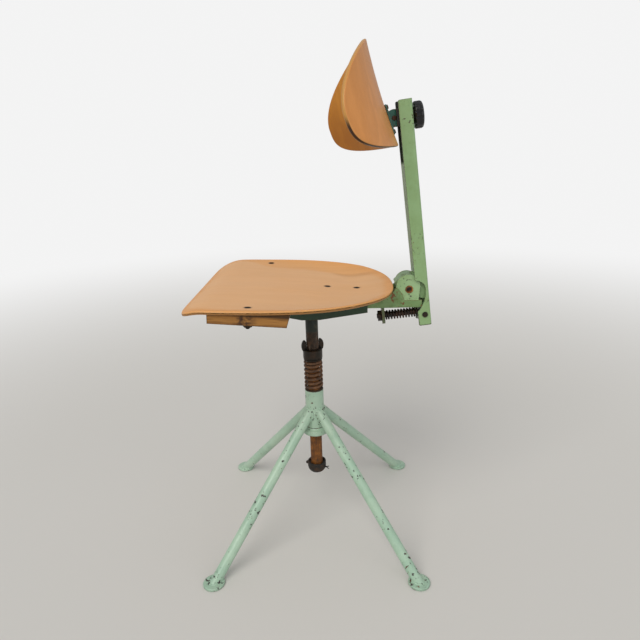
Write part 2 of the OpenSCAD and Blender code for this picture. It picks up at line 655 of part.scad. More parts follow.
// Wooden block between the strip and the pan, its top shaped to the pan's underside
block_cells = [6, 4];
block_slant_rear = 4;
block_slant_front = 0.3;
block_seat_gap = 0.7;
function block_x(i) = -block_front + block_len * i / block_cells.x;
function block_low_x(i) = -block_front + block_slant_front
    + (block_len - block_slant_front - block_slant_rear) * i / block_cells.x;
function block_y(j) = block_w * j / block_cells.y - block_out_y;
module block_form() {
    nx = block_cells.x;
    ny = block_cells.y;
    count = (nx + 1) * (ny + 1);
    upper = [for (i = [0 : nx]) for (j = [0 : ny]) let (x = block_x(i), y = block_y(j))
        [x, y, pan_top(x, y) - pan_t - block_seat_gap]];
    under = [for (i = [0 : nx]) for (j = [0 : ny]) [block_low_x(i), block_y(j), strip_z]];
    function at(i, j) = i * (ny + 1) + j;
    cells = [for (i = [0 : nx - 1]) for (j = [0 : ny - 1])
        let (a = at(i, j), b = at(i + 1, j), c = at(i + 1, j + 1), d = at(i, j + 1), n = count)
        each [[a, d, c], [a, c, b], [n + a, n + c, n + d], [n + a, n + b, n + c]]];
    long_sides = [for (i = [0 : nx - 1])
        let (a = at(i, 0), b = at(i + 1, 0), c = at(i, ny), d = at(i + 1, ny), n = count)
        each [[a, b, n + b], [a, n + b, n + a], [d, c, n + c], [d, n + c, n + d]]];
    short_sides = [for (j = [0 : ny - 1])
        let (a = at(0, j), b = at(0, j + 1), c = at(nx, j), d = at(nx, j + 1), n = count)
        each [[b, a, n + a], [b, n + a, n + b], [c, d, n + d], [c, n + d, n + c]]];
    polyhedron(concat(upper, under), concat(cells, long_sides, short_sides));
}
module block(side) color(seat_wood) at_pan() difference() {
    mirror([0, side > 0 ? 1 : 0, 0]) block_form();
    translate([0, 0, -contact_gap]) strip_form(contact_gap + 0.1);
    for (p = front_bolts) bolt_hole(p);
}
module packing_block_left() block(-1);
module packing_block_right() block(1);

module front_seat_bolts() color(dark_steel) at_pan()
    for (p = front_bolts) seat_bolt(p, strip_z);
module front_bolt_nuts() color(dark_steel) at_pan()
    for (p = front_bolts) seat_nut(p, strip_z);
rear_bolt_under = -pan_t - spine_t;
module rear_seat_bolts() color(dark_steel) at_pan()
    for (p = rear_bolts) seat_bolt(p, rear_bolt_under);
module rear_bolt_nuts() color(dark_steel) at_pan()
    for (p = rear_bolts) seat_nut(p, rear_bolt_under);
module seat_pan() color(seat_wood) at_pan() difference() {
    translate([0, 0, contact_gap]) pan_form();
    for (p = concat(front_bolts, rear_bolts)) bolt_hole(p);
}

// Rear bracket: channel under the pan, two cheeks, hollow pivot tube and lug
channel_z = -channel_below;
channel_bend = 2.5;
channel_from = channel_rear - channel_len;
channel_web = channel_w / 2 - channel_t;
gusset = [[-9.3, channel_z + channel_h - 0.5], [-12, -8], [-20.5, 3], [-24.5, 2.5], [-27.5, -3],
    [-31, -3], [-45, -9], [-62, channel_z + channel_h - 0.5]];
module rear_bracket() color(sage) at_pivot() difference() {
    union() {
        translate([channel_from, -channel_w / 2, channel_z + channel_bend])
            cube([channel_len, channel_w, channel_h - channel_bend]);
        translate([channel_from, -channel_w / 2 + channel_bend, channel_z])
            cube([channel_len, channel_w - 2 * channel_bend, channel_h]);
        for (s = [-1, 1]) translate([0, s * (channel_w / 2 - channel_bend), channel_z + channel_bend])
            bar_x(channel_bend, channel_from, channel_rear);
        plate_xz(-channel_w / 2, -channel_web) polygon(gusset);
        plate_xz(channel_web, channel_w / 2) polygon(gusset);
    }
    translate([channel_from - 1, -channel_web, channel_z + channel_t])
        cube([channel_len + 2, 2 * channel_web, big]);
}
cheek_foot_x = [-10.5, 15.8];
module cheek(y0, y1) color(sage) at_pivot() difference() {
    plate_xz(y0, y1) union() {
        translate(cheek_mid) circle(cheek_r);
        polygon([[cheek_foot_x[0], channel_z + channel_t + seam_gap],
            [cheek_foot_x[1], channel_z + channel_t + seam_gap],
            [cheek_foot_x[1] + 1.2, channel_z + channel_h],
            [cheek_mid.x + cheek_r, cheek_mid.y], [cheek_mid.x - cheek_r, cheek_mid.y],
            [cheek_mid.x - cheek_r, cheek_mid.y - 2.6], [cheek_foot_x[0], channel_z + channel_h]]);
    }
    bar_y(pivot_d / 2 + seam_gap, y0 - 1, y1 + 1);
}
module cheek_left() cheek(-cheek_out, -cheek_in);
module cheek_right() cheek(cheek_in, cheek_out);
pivot_flare = 1;
module pivot_tube() color(bronze) at_pivot() difference() {
    union() {
        bar_y(pivot_d / 2, -cheek_out - pivot_flare, cheek_out + pivot_flare);
        for (s = [-1, 1]) translate([0, s * (cheek_out + seam_gap + pivot_flare / 2), 0])
            bar_y(pivot_d / 2 + 0.3, -pivot_flare / 2, pivot_flare / 2);
    }
    bar_y(pivot_bore / 2, -big / 2, big / 2);
}
rod_hole_r = rod_d / 2 + rod_hole_gap;
module spring_lug() color(dark_green) intersection() {
    at_rod() difference() {
        union() {
            translate([rod_reach, 0, 0]) bar_x(lug_w / 2, -lug_t / 2, lug_t / 2);
            translate([rod_reach - lug_t / 2, -lug_w / 2, -lug_below + channel_below - 10])
                cube([lug_t, lug_w, lug_below - channel_below + 10]);
        }
        bar_x(rod_hole_r, rod_reach - lug_t, rod_reach + lug_t);
    }
    at_pivot() translate([-big / 2, -big / 2, channel_z - seam_gap - big]) cube(big);
}

// Back arm: slotted channel, knuckle welded inside it, and the spring pin
arm_corner = 2.5;
arm_bend = 4;
slot_top = clamp_up + 7;
slot_bottom = clamp_up - slot_travel - 7;
module arm_side() difference() {
    translate([arm_front, -arm_down]) square([arm_deep + 1, arm_up + arm_down]);
    for (z = [-arm_down, arm_up]) translate([arm_front, z]) difference() {
        translate([-arm_corner, -arm_corner]) square(2 * arm_corner);
        translate([arm_corner, z < 0 ? arm_corner : -arm_corner]) circle(arm_corner);
        translate([arm_corner, -big / 2]) square(big);
        translate([-big / 2, z < 0 ? arm_corner : -arm_corner - big]) square(big);
    }
}
module slot_cut(z0, z1, w) {
    for (z = [z0 + w / 2, z1 - w / 2]) translate([0, 0, z]) bar_x(w / 2, arm_web - 1, arm_back + 1);
    translate([arm_web - 1, -w / 2, z0 + w / 2]) cube([arm_t + 2, w, z1 - z0 - w]);
}
notch = [[arm_front - 1, 15.5], [arm_front - 1, -42], [15.2, -37.9], [24.6, -21.3],
    [27.3, -10], [27.9, -0.3], [26, 6.5], [22.2, 11.1], [16.5, 14.4]];
module arm_plan(back, half, r) {
    translate([arm_front - 2, -half]) square([back - r - arm_front + 2, 2 * half]);
    translate([back - r - 1, r - half]) square([r + 1, 2 * (half - r)]);
    for (s = [-1, 1]) translate([back - r, s * (half - r)]) circle(r);
}
module back_arm() color(sage) at_arm() difference() {
    intersection() {
        plate_xz(-arm_w, arm_w) arm_side();
        translate([0, 0, -arm_down - 1]) linear_extrude(arm_up + arm_down + 2) difference() {
            arm_plan(arm_back, arm_w / 2, arm_bend);
            arm_plan(arm_web, arm_w / 2 - arm_t, arm_bend - arm_t);
        }
    }
    slot_cut(slot_bottom, slot_top, slot_w);
    plate_xz(-arm_w, arm_w) polygon(notch);
    translate([arm_web - 1, -rod_eye_w / 2 - 3, -arm_down - 1])
        cube([arm_t + 2, rod_eye_w + 6, arm_down + fork_top + 1]);
    translate([spring_pin_x, 0, -spring_pin_down])
        bar_y(spring_pin_d / 2 + seam_gap, -arm_w, arm_w);
}
nose = [-1, 5.7];
nose_r = 21;
knuckle_end = arm_web - seam_gap;
knuckle_top = 21;
knuckle_low = -22;
lip = [[-10.4, 6.2], [-4, 5], [-4, 22], [-14, 22.1], [-23.5, 14.6], [-23.2, 13.6]];
module arm_knuckle() color(sage) at_arm() difference() {
    plate_xz(-knuckle_y, knuckle_y) union() {
        circle(pivot_d / 2 + 4);
        difference() {
            union() {
                translate(nose) circle(nose_r);
                polygon([[nose.x - 1, nose.y - nose_r + 1], [knuckle_end, knuckle_low],
                    [knuckle_end, knuckle_top], [nose.x - 1, nose.y + nose_r - 1]]);
            }
            polygon([[lip[0].x, lip[0].y], [lip[5].x, lip[5].y], [-big, lip[5].y], [-big, -big],
                [lip[0].x, -big]]);
        }
        polygon(lip);
    }
    plate_xz(-knuckle_y + knuckle_t, knuckle_y - knuckle_t) union() {
        translate(nose) circle(nose_r - knuckle_t);
        polygon([[nose.x - nose_r + knuckle_t + 1, -big / 4], [knuckle_end + 1, -big / 4],
            [knuckle_end + 1, knuckle_top - knuckle_t],
            [nose.x - 1, nose.y + nose_r - knuckle_t - 1],
            [nose.x - nose_r + knuckle_t + 1, nose.y - 1]]);
    }
    bar_y(pivot_d / 2 + running_gap, -big / 4, big / 4);
}
pin_head = 1.2;
module spring_pin() color(dark_steel) at_arm() translate([spring_pin_x, 0, -spring_pin_down])
    bar_y(spring_pin_d / 2, -arm_w / 2 - pin_head, arm_w / 2 + pin_head);

// Spring rod with its washers, nut and spring
module spring_rod() color(dark_steel) at_rod() difference() {
    union() {
        bar_y(rod_eye_r, -rod_eye_w / 2, rod_eye_w / 2);
        bar_x(rod_d / 2, rod_eye_r - 3, rod_end_x);
    }
    bar_y(spring_pin_d / 2 + running_gap, -rod_eye_w, rod_eye_w);
}
module rod_ring(x, d, t) translate([x, 0, 0]) rotate([0, 90, 0])
    ring(d / 2, rod_d / 2 + seam_gap, t);
module rod_washer() color(dark_steel) at_rod() rod_ring(rod_washer_x, rod_washer_d, rod_washer_t);
module stop_washer() color(dark_steel) at_rod() rod_ring(stop_washer_x, rod_washer_d, stop_washer_t);
module stop_nut() color(dark_steel) at_rod() translate([stop_nut_x, 0, 0]) rotate([0, 90, 0])
    difference() {
        cylinder(h = stop_nut_t, d = stop_nut_d, $fn = 6);
        translate([0, 0, -1]) cylinder(h = stop_nut_t + 2, r = rod_d / 2 + seam_gap);
    }
module back_spring() color(rust) at_rod() translate([back_spring_x, 0, 0]) rotate([0, 90, 0])
    coil(back_spring_d, back_spring_wire, back_spring_turns, back_spring_len);

// Clamp: block that slides in the arm, bolt, washer and knob
module slide_block() color(black) at_clamp() difference() {
    union() {
        translate([slide_front, -slide_y, -slide_len / 2])
            cube([slide_back - slide_front, 2 * slide_y, slide_len]);
        translate([head_pin_x, -tongue_y, 2 - slide_len / 2])
            cube([slide_front - head_pin_x + 1, 2 * tongue_y, slide_len - 4]);
        translate([head_pin_x, 0, 0]) rotate([0, arm_lean, 0]) head_turn()
            bar_y(eye_r, -tongue_y - 0.1, tongue_y + 0.1);
    }
    for (s = [-1, 1]) translate([slide_front - 1, s > 0 ? ear_slot[0] : -ear_slot[1], -slide_len])
        cube([ear_slot_x - slide_front + 1, ear_slot[1] - ear_slot[0], 2 * slide_len]);
    translate([head_pin_x, 0, 0]) rotate([0, arm_lean, 0]) head_turn()
        bar_y(head_pin_d / 2 + running_gap, -slide_y * 2, slide_y * 2);
    bar_x(clamp_bolt_d / 2 + seam_gap, bolt_start, slide_back + 1);
}
module clamp_bolt() color(dark_steel) at_clamp()
    bar_x(clamp_bolt_d / 2, bolt_start + seam_gap, clamp_bolt_end);
module clamp_washer() color(dark_steel) at_clamp() translate([clamp_washer_x, 0, 0])
    rotate([0, 90, 0]) ring(13, clamp_bolt_d / 2 + running_gap, clamp_washer_t);
groove_r = 2.4;
module clamp_knob() color(black) at_clamp() translate([knob_x, 0, 0]) rotate([0, 90, 0])
    difference() {
        rotate_extrude() polygon([[insert_r + seam_gap, 0], [knob_d / 2 - 3, 0],
            [knob_d / 2 - 1.2, 0.8], [knob_d / 2, 2.6], [knob_d / 2, knob_h - 4],
            [knob_d / 2 - 1.2, knob_h - 1.4], [knob_d / 2 - 4, knob_h], [0, knob_h],
            [0, insert_h + seam_gap], [insert_r + seam_gap, insert_h + seam_gap]]);
        for (i = [0 : knob_grooves - 1]) rotate(360 / knob_grooves * i)
            translate([knob_d / 2 + groove_r * 0.5, 0, -1])
            cylinder(h = knob_h + 2, r = groove_r);
    }
module knob_insert() color(bronze) at_clamp() translate([knob_x, 0, 0]) rotate([0, 90, 0])
    ring(insert_r, clamp_bolt_d / 2 + running_gap, insert_h);

// Backrest: curved shell, plate with two ears, head pin and screws
back_steps = 14;
function back_edge_z(i) = let (a = 90 * i / back_steps)
    [back_widest + (back_h - back_widest) * pow(sin(a), 2 / 1.85), back_half_w * pow(cos(a), 2 / 1.94)];
function back_edge_low(i) = let (a = 90 * i / back_steps)
    [back_widest - back_widest * pow(sin(a), 2 / 3.4), back_half_w * pow(cos(a), 2 / 2.32)];
back_half = concat([for (i = [back_steps : -1 : 1]) back_edge_low(i)],
    [for (i = [0 : back_steps]) back_edge_z(i)]);
function back_y(arc) = back_r * sin(min(89, arc / back_r * 180 / PI));
back_outline = concat([for (p = back_half) [back_y(p.y), p.x]],
    [for (i = [len(back_half) - 2 : -1 : 1]) [-back_y(back_half[i].y), back_half[i].x]]);
screw_places = [for (y = [-screw_y, screw_y]) for (z = [-screw_z, screw_z]) [y, z]];
module back_shell() color(back_wood) at_head() difference() {
    intersection() {
        translate([-back_pin_off - back_r, 0, -back_pin_h]) difference() {
            cylinder(h = back_h, r = back_r, $fn = 180);
            translate([0, 0, -1]) cylinder(h = back_h + 2, r = back_r - back_t, $fn = 180);
        }
        translate([-back_pin_off - back_r, 0, -back_pin_h]) rotate([90, 0, 90])
            linear_extrude(back_r + 1) polygon(back_outline);
    }
    for (p = screw_places) translate([0, p.x, p.y])
        bar_x(screw_d / 2 + seam_gap, -back_pin_off - back_t - 1, -back_pin_off + 1);
}
plate_front = -back_pin_off + contact_gap;
plate_back = plate_front + plate_t;
plate_corner = 4;
module back_plate() color(teal) at_head() difference() {
    union() {
        translate([plate_front, 0, 0]) rotate([90, 0, 90]) linear_extrude(plate_t) union() {
            square([plate_w - 2 * plate_corner, plate_h], center = true);
            square([plate_w, plate_h - 2 * plate_corner], center = true);
            for (y = [-1, 1]) for (z = [-1, 1])
                translate([y * (plate_w / 2 - plate_corner), z * (plate_h / 2 - plate_corner)])
                circle(plate_corner);
        }
        for (s = [-1, 1]) plate_xz(s > 0 ? ear_in : -ear_out, s > 0 ? ear_out : -ear_in)
            difference() {
                circle(ear_r);
                translate([plate_back - 0.5 - big, -big / 2]) square(big);
            }
    }
    bar_y(head_pin_d / 2 + seam_gap, -ear_out * 2, ear_out * 2);
    for (p = screw_places) translate([0, p.x, p.y])
        bar_x(screw_d / 2 + seam_gap, plate_front - 1, plate_back + 1);
}
module head_pin() color(rust) at_head()
    bar_y(head_pin_d / 2, -ear_out - pin_head, ear_out + pin_head);
screw_head_h = 2;
screw_depth = back_t - 1.5;
module back_screws() color(dark_steel) at_head() for (p = screw_places) translate([0, p.x, p.y]) {
    bar_x(screw_d / 2, plate_front - screw_depth, plate_back + 0.1);
    bar_x(screw_d * 0.8, plate_back + seam_gap, plate_back + screw_head_h);
}

hub_tube();
hub_flange();
upper_bush();
lower_bush();
leg_front_left();
leg_front_right();
leg_rear_left();
leg_rear_right();
foot_front_left();
foot_front_right();
foot_rear_left();
foot_rear_right();
thrust_washer();
seat_spring();
height_nut();
spindle();
end_cup();
cotter_pin();
spindle_socket();
seat_spine();
cross_strip();
packing_block_left();
packing_block_right();
front_seat_bolts();
front_bolt_nuts();
rear_seat_bolts();
rear_bolt_nuts();
seat_pan();
rear_bracket();
cheek_left();
cheek_right();
pivot_tube();
spring_lug();
back_arm();
arm_knuckle();
spring_pin();
spring_rod();
rod_washer();
back_spring();
stop_washer();
stop_nut();
slide_block();
clamp_bolt();
clamp_washer();
clamp_knob();
knob_insert();
back_shell();
back_plate();
head_pin();
back_screws();
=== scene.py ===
"""Workshop swivel chair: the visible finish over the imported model, in metres, in the model's own frame."""
import json
import math

import bmesh
import bpy
import numpy as np
from mathutils import Matrix, Vector


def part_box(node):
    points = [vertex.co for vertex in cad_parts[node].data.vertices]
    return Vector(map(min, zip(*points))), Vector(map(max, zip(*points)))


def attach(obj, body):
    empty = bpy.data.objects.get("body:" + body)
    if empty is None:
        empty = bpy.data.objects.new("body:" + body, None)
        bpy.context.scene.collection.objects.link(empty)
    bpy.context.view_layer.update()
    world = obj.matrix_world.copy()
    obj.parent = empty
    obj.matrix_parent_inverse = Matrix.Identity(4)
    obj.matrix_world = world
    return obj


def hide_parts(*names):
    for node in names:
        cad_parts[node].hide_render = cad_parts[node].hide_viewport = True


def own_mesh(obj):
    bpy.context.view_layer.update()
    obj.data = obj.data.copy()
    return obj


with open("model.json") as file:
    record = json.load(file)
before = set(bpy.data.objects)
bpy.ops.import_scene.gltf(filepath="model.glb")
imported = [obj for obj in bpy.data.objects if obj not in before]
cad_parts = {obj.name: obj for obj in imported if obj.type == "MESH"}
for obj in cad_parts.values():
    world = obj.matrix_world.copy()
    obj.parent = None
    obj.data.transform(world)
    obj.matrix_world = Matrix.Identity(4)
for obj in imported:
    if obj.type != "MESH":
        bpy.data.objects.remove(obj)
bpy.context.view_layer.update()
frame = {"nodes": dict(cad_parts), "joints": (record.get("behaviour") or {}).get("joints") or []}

# Where things are: places are in millimetres, as on the drawing. The back pivot's place comes from its
# joint, and the swivel axis, which the chair stands round, is at X = axis_x.
MM = 0.001
joints = {joint["name"]: joint for joint in frame["joints"]}
pivot = np.array(joints["back_tilt"]["pos_m"]) / MM
axis_x = pivot[0] - 174.0


# Camera and stage. The photograph looks a little down on the chair's near side from about a metre off,
# with the horizon slightly turned. The stage is a pale floor under plain soft light.
view_pitch, view_roll, view_yaw = math.radians(18.27), math.radians(1.9), math.radians(2.2)
view_turn = Matrix.Rotation(view_yaw, 3, "Z")
camera_place = view_turn @ Vector((15.5, -935.3, 736.2)) * MM
forward = view_turn @ Vector((0, math.cos(view_pitch), -math.sin(view_pitch)))
level_right = view_turn @ Vector((1, 0, 0))
level_up = level_right.cross(forward)
right = level_right * math.cos(view_roll) - level_up * math.sin(view_roll)
up = level_right * math.sin(view_roll) + level_up * math.cos(view_roll)
camera_data = bpy.data.cameras.new("camera")
camera_data.lens = 30.375
camera_data.sensor_width = 36.0
camera_data.clip_start = 0.01
camera = bpy.data.objects.new("camera", camera_data)
camera.matrix_world = Matrix((
    (right.x, up.x, -forward.x, camera_place.x + axis_x * MM),
    (right.y, up.y, -forward.y, camera_place.y),
    (right.z, up.z, -forward.z, camera_place.z),
    (0, 0, 0, 1)))
bpy.context.collection.objects.link(camera)
bpy.context.scene.camera = camera
bpy.context.scene.view_settings.view_transform = "Standard"


def add(tree, kind, inputs=None, **settings):
    """One shader node: settings are its own fields, inputs its sockets, each set by a value or a link."""
    made = tree.nodes.new(kind)
    for key, value in settings.items():
        setattr(made, key, value)
    for key, value in (inputs or {}).items():
        if isinstance(value, bpy.types.NodeSocket):
            tree.links.new(value, made.inputs[key])
        else:
            made.inputs[key].default_value = value
    return made


def calc(tree, operation, first, second=0.0, third=0.0):
    """One Math node's result."""
    return add(tree, "ShaderNodeMath", {0: first, 1: second, 2: third}, operation=operation).outputs[0]


def times(tree, first, second):
    """The product of two values."""
    return calc(tree, "MULTIPLY", first, second)


def smooth_step(tree, value, low, high):
    """0 where value is under low, 1 where it is over high, and a smooth rise between."""
    return add(tree, "ShaderNodeMapRange", {"Value": value, "From Min": low, "From Max": high},
               interpolation_type="SMOOTHSTEP").outputs[0]


def own_place(tree):
    """The object's own coordinates, on which every pattern is laid."""
    return add(tree, "ShaderNodeTexCoord").outputs["Object"]


def grid_mesh(name, points, around=False, along=False):
    """A mesh over a grid of points, rows x columns x 3 in millimetres: one quad between four neighbours,
    with the last column joined to the first where around is true, and the last row likewise by along."""
    rows, columns = points.shape[:2]
    index = np.arange(rows * columns).reshape(rows, columns)
    if along:
        index = np.vstack([index, index[:1]])
    if around:
        index = np.hstack([index, index[:, :1]])
    quads = np.stack([index[:-1, :-1], index[:-1, 1:], index[1:, 1:], index[1:, :-1]], -1).reshape(-1, 4)
    mesh = bpy.data.meshes.new(name)
    mesh.vertices.add(rows * columns)
    mesh.vertices.foreach_set("co", (points * MM).astype(np.float32).ravel())
    mesh.loops.add(quads.size)
    mesh.loops.foreach_set("vertex_index", quads.astype(np.int32).ravel())
    mesh.polygons.add(len(quads))
    mesh.polygons.foreach_set("loop_start", np.arange(0, quads.size, 4, dtype=np.int32))
    mesh.polygons.foreach_set("use_smooth", np.ones(len(quads), bool))
    mesh.update(calc_edges=True)
    mesh.validate()
    return mesh


def put(name, mesh, material):
    """Links a mesh into the scene as an object at the origin, with one material."""
    thing = bpy.data.objects.new(name, mesh)
    mesh.materials.append(material)
    bpy.context.collection.objects.link(thing)
    return thing


backdrop_colour, backdrop_level = (0.90, 0.90, 0.90, 1), 1.0
floor_side, floor_tone, floor_fade = 60000.0, (0.66, 0.64, 0.60, 1), (0.7, 3.2)
floor_grid = np.array([[[-1, -1, 0], [1, -1, 0]], [[-1, 1, 0], [1, 1, 0]]], float) * floor_side / 2
floor_finish = bpy.data.materials.new("floor_finish")
floor_finish.use_nodes = True
floor_tree = floor_finish.node_tree
floor_shader = floor_tree.nodes["Principled BSDF"]
floor_shader.inputs["Base Color"].default_value = floor_tone
floor_shader.inputs["Roughness"].default_value = 0.7
floor_shader.inputs["Specular IOR Level"].default_value = 0.1
# the floor runs out into the pale backdrop, so that no horizon is seen behind the chair
floor_far = add(floor_tree, "ShaderNodeVectorMath", {0: own_place(floor_tree)}, operation="LENGTH")
floor_gone = smooth_step(floor_tree, floor_far.outputs["Value"], *floor_fade)
floor_seen = times(floor_tree, floor_gone, add(floor_tree, "ShaderNodeLightPath").outputs["Is Camera Ray"])
floor_paper = add(floor_tree, "ShaderNodeEmission", {"Color": backdrop_colour, "Strength": backdrop_level})
floor_mix = add(floor_tree, "ShaderNodeMixShader", {
    0: floor_seen, 1: floor_shader.outputs[0], 2: floor_paper.outputs[0]})
floor_tree.links.new(floor_mix.outputs[0], floor_tree.nodes["Material Output"].inputs["Surface"])
floor = put("floor", grid_mesh("floor", floor_grid), floor_finish)

world = bpy.data.worlds.new("studio")
world.use_nodes = True
bpy.context.scene.world = world
sky_tree = world.node_tree
sky = sky_tree.nodes["Background"]
seen = add(sky_tree, "ShaderNodeLightPath")
backdrop = add(sky_tree, "ShaderNodeBackground", {"Color": backdrop_colour, "Strength": backdrop_level})
sky.inputs["Color"].default_value = (0.95, 0.97, 1.0, 1)
sky.inputs["Strength"].default_value = 0.50
choose = add(sky_tree, "ShaderNodeMixShader", {
    0: seen.outputs["Is Camera Ray"], 1: sky.outputs[0], 2: backdrop.outputs[0]})
sky_tree.links.new(choose.outputs[0], sky_tree.nodes["World Output"].inputs["Surface"])


def sun(name, toward, watts, spread, colour):
    """A sun that shines from the direction toward, spread degrees wide, so that its shadows are soft."""
    data = bpy.data.lights.new(name, "SUN")
    data.angle = math.radians(spread)
    data.energy = watts
    data.color = colour
    light = bpy.data.objects.new(name, data)
    light.rotation_euler = Vector(toward).to_track_quat("Z", "Y").to_euler()
    bpy.context.collection.objects.link(light)


sun("key", (-0.55, -1.0, 1.15), 1.45, 40, (1.0, 0.98, 0.95))
sun("fill", (1.0, -1.1, 0.55), 0.45, 60, (0.97, 0.98, 1.0))


# Base: a hub tube, a ring turned onto its lower end, and four legs of 19 mm steel tube with a round plate
# welded under each. All of it was sprayed pale green after welding and has since been chipped and
# rubbed, most of all on the legs' upper sides and round the feet.
def group(name, inputs, outputs):
    """A node group with named sockets, and its two ends: each input is (name, kind, default)."""
    tree = bpy.data.node_groups.new(name, "ShaderNodeTree")
    for label, kind, default in inputs:
        socket = tree.interface.new_socket(name=label, in_out="INPUT", socket_type=kind)
        if default is not None:
            socket.default_value = default
    for label, kind in outputs:
        tree.interface.new_socket(name=label, in_out="OUTPUT", socket_type=kind)
    return tree, tree.nodes.new("NodeGroupInput").outputs, tree.nodes.new("NodeGroupOutput").inputs


FLOAT, COLOUR, VECTOR = "NodeSocketFloat", "NodeSocketColor", "NodeSocketVector"


def fall(tree, value, low, high):
    """1 where value is under low, 0 where it is over high, and a smooth fall between."""
    return calc(tree, "SUBTRACT", 1.0, smooth_step(tree, value, low, high))


def blend_colour(tree, factor, first, second, kind="MIX"):
    """One Mix node's colour, from first at factor 0 to second at factor 1. Each of the two is a socket, or
    a plain colour's red, green and blue."""
    first, second = ((*tone, 1) if isinstance(tone, tuple) else tone for tone in (first, second))
    return add(tree, "ShaderNodeMix", {0: factor, 6: first, 7: second},
               data_type="RGBA", blend_type=kind, clamp_factor=True).outputs[2]


def noise(tree, vector, scale, detail=4.0, rough=0.55):
    """A Noise texture's value, about 0.5 on average."""
    return add(tree, "ShaderNodeTexNoise",
               {"Vector": vector, "Scale": scale, "Detail": detail, "Roughness": rough}).outputs["Fac"]


def patches_group():
    """Islands where a noise passes Level, pulled together by a coarser noise that says where they gather."""
    tree, given, out = group(
        "patches", [("Vector", VECTOR, None), ("Scale", FLOAT, 200.0), ("Level", FLOAT, 0.62),
                    ("Gather Scale", FLOAT, 14.0), ("Softness", FLOAT, 0.02)], [("Mask", FLOAT)])
    fine = noise(tree, given["Vector"], given["Scale"], 5.0, 0.6)
    gather = noise(tree, given["Vector"], given["Gather Scale"], 2.0)
    total = calc(tree, "ADD", fine, times(tree, calc(tree, "SUBTRACT", gather, 0.5), 0.55))
    top = calc(tree, "ADD", given["Level"], given["Softness"])
    tree.links.new(smooth_step(tree, total, given["Level"], top), out["Mask"])
    return tree


def edge_rub_group():
    """How far the surface turns within a small radius, made ragged by a noise, so that Mask follows corners
    and bends. Normal rounds the corners off."""
    tree, given, out = group(
        "edge_rub", [("Vector", VECTOR, None), ("Radius", FLOAT, 0.0015), ("Amount", FLOAT, 0.5)],
        [("Mask", FLOAT), ("Normal", VECTOR)])
    rounded = add(tree, "ShaderNodeBevel", {"Radius": given["Radius"]}, samples=6).outputs[0]
    flat = add(tree, "ShaderNodeNewGeometry").outputs["Normal"]
    agree = add(tree, "ShaderNodeVectorMath", {0: rounded, 1: flat}, operation="DOT_PRODUCT")
    turned = smooth_step(tree, calc(tree, "SUBTRACT", 1.0, agree.outputs["Value"]), 0.01, 0.12)
    ragged = noise(tree, given["Vector"], 160.0, 5.0, 0.65)
    level = times(tree, calc(tree, "SUBTRACT", 1.0, given["Amount"]), 0.5)
    mask = smooth_step(tree, times(tree, turned, ragged), level, calc(tree, "ADD", level, 0.06))
    tree.links.new(mask, out["Mask"])
    tree.links.new(rounded, out["Normal"])
    return tree


def bare_metal_group():
    """Brown-black steel with rust blooms, for whatever shows through a finish."""
    tree, given, out = group(
        "bare_metal", [("Vector", VECTOR, None), ("Rust Share", FLOAT, 0.5)], [("Color", COLOUR)])
    level = calc(tree, "SUBTRACT", 0.85, times(tree, given["Rust Share"], 0.7))
    bloom = smooth_step(tree, noise(tree, given["Vector"], 90.0, 6.0, 0.65),
                        calc(tree, "SUBTRACT", level, 0.1), calc(tree, "ADD", level, 0.1))
    tree.links.new(blend_colour(tree, bloom, (0.05, 0.045, 0.04), (0.19, 0.075, 0.025)), out["Color"])
    return tree


patches, edge_rub, bare_metal = patches_group(), edge_rub_group(), bare_metal_group()


def place_group(tree, made, inputs):
    """Places a node group in a material and sets or links its sockets."""
    return add(tree, "ShaderNodeGroup", inputs, node_tree=made).outputs


def new_material(name, roughness, metallic=0.0, specular=0.5):
    """An empty material: its tree, its shader's inputs and the object's own coordinates."""
    material = bpy.data.materials.new(name)
    material.use_nodes = True
    tree = material.node_tree
    shader = tree.nodes["Principled BSDF"]
    shader.inputs["Roughness"].default_value = roughness
    shader.inputs["Metallic"].default_value = metallic
    shader.inputs["Specular IOR Level"].default_value = specular
    return material, tree, shader.inputs, own_place(tree)


def bump(tree, height, distance, normal=None):
    """A Bump node's normal, for a height that is 0 to 1 over distance in metres."""
    inputs = {"Height": height, "Distance": distance}
    if normal is not None:
        inputs["Normal"] = normal
    return add(tree, "ShaderNodeBump", inputs).outputs["Normal"]


def worn_paint(name, colour, shade, chips, rubbed, rough=0.38, chip_scale=230.0, rust=0.5, gather=16.0,
               grime=(0.5, 0.5, 0.42), grime_share=0.25):
    """Sprayed paint over steel: colour drifting to shade, grime in soft clouds, chips down to bare metal
    gathered in places and along edges, with a step at each chip's rim."""
    material, tree, shader, where = new_material(name, rough)
    drift = smooth_step(tree, noise(tree, where, 22.0, 3.0), 0.35, 0.68)
    paint = blend_colour(tree, drift, colour, shade)
    cloud = smooth_step(tree, noise(tree, where, 34.0, 6.0, 0.7), 0.5, 0.78)
    paint = blend_colour(tree, times(tree, cloud, grime_share), paint, grime, "MULTIPLY")
    chipped = place_group(tree, patches, {"Vector": where, "Scale": chip_scale, "Level": 1 - chips,
                                          "Gather Scale": gather, "Softness": 0.015})["Mask"]
    rub = place_group(tree, edge_rub, {"Vector": where, "Radius": 0.0014, "Amount": rubbed})
    gone = calc(tree, "MAXIMUM", chipped, rub["Mask"])
    metal = place_group(tree, bare_metal, {"Vector": where, "Rust Share": rust})["Color"]
    tree.links.new(blend_colour(tree, gone, paint, metal), shader["Base Color"])
    dull = calc(tree, "ADD", rough - 0.08, times(tree, cloud, 0.18))
    tree.links.new(calc(tree, "ADD", times(tree, gone, 0.3), dull), shader["Roughness"])
    peel = times(tree, noise(tree, where, 420.0, 2.0), 0.12)
    height = calc(tree, "SUBTRACT", peel, times(tree, gone, 0.8))
    tree.links.new(bump(tree, height, 0.00025, rub["Normal"]), shader["Normal"])
    return material


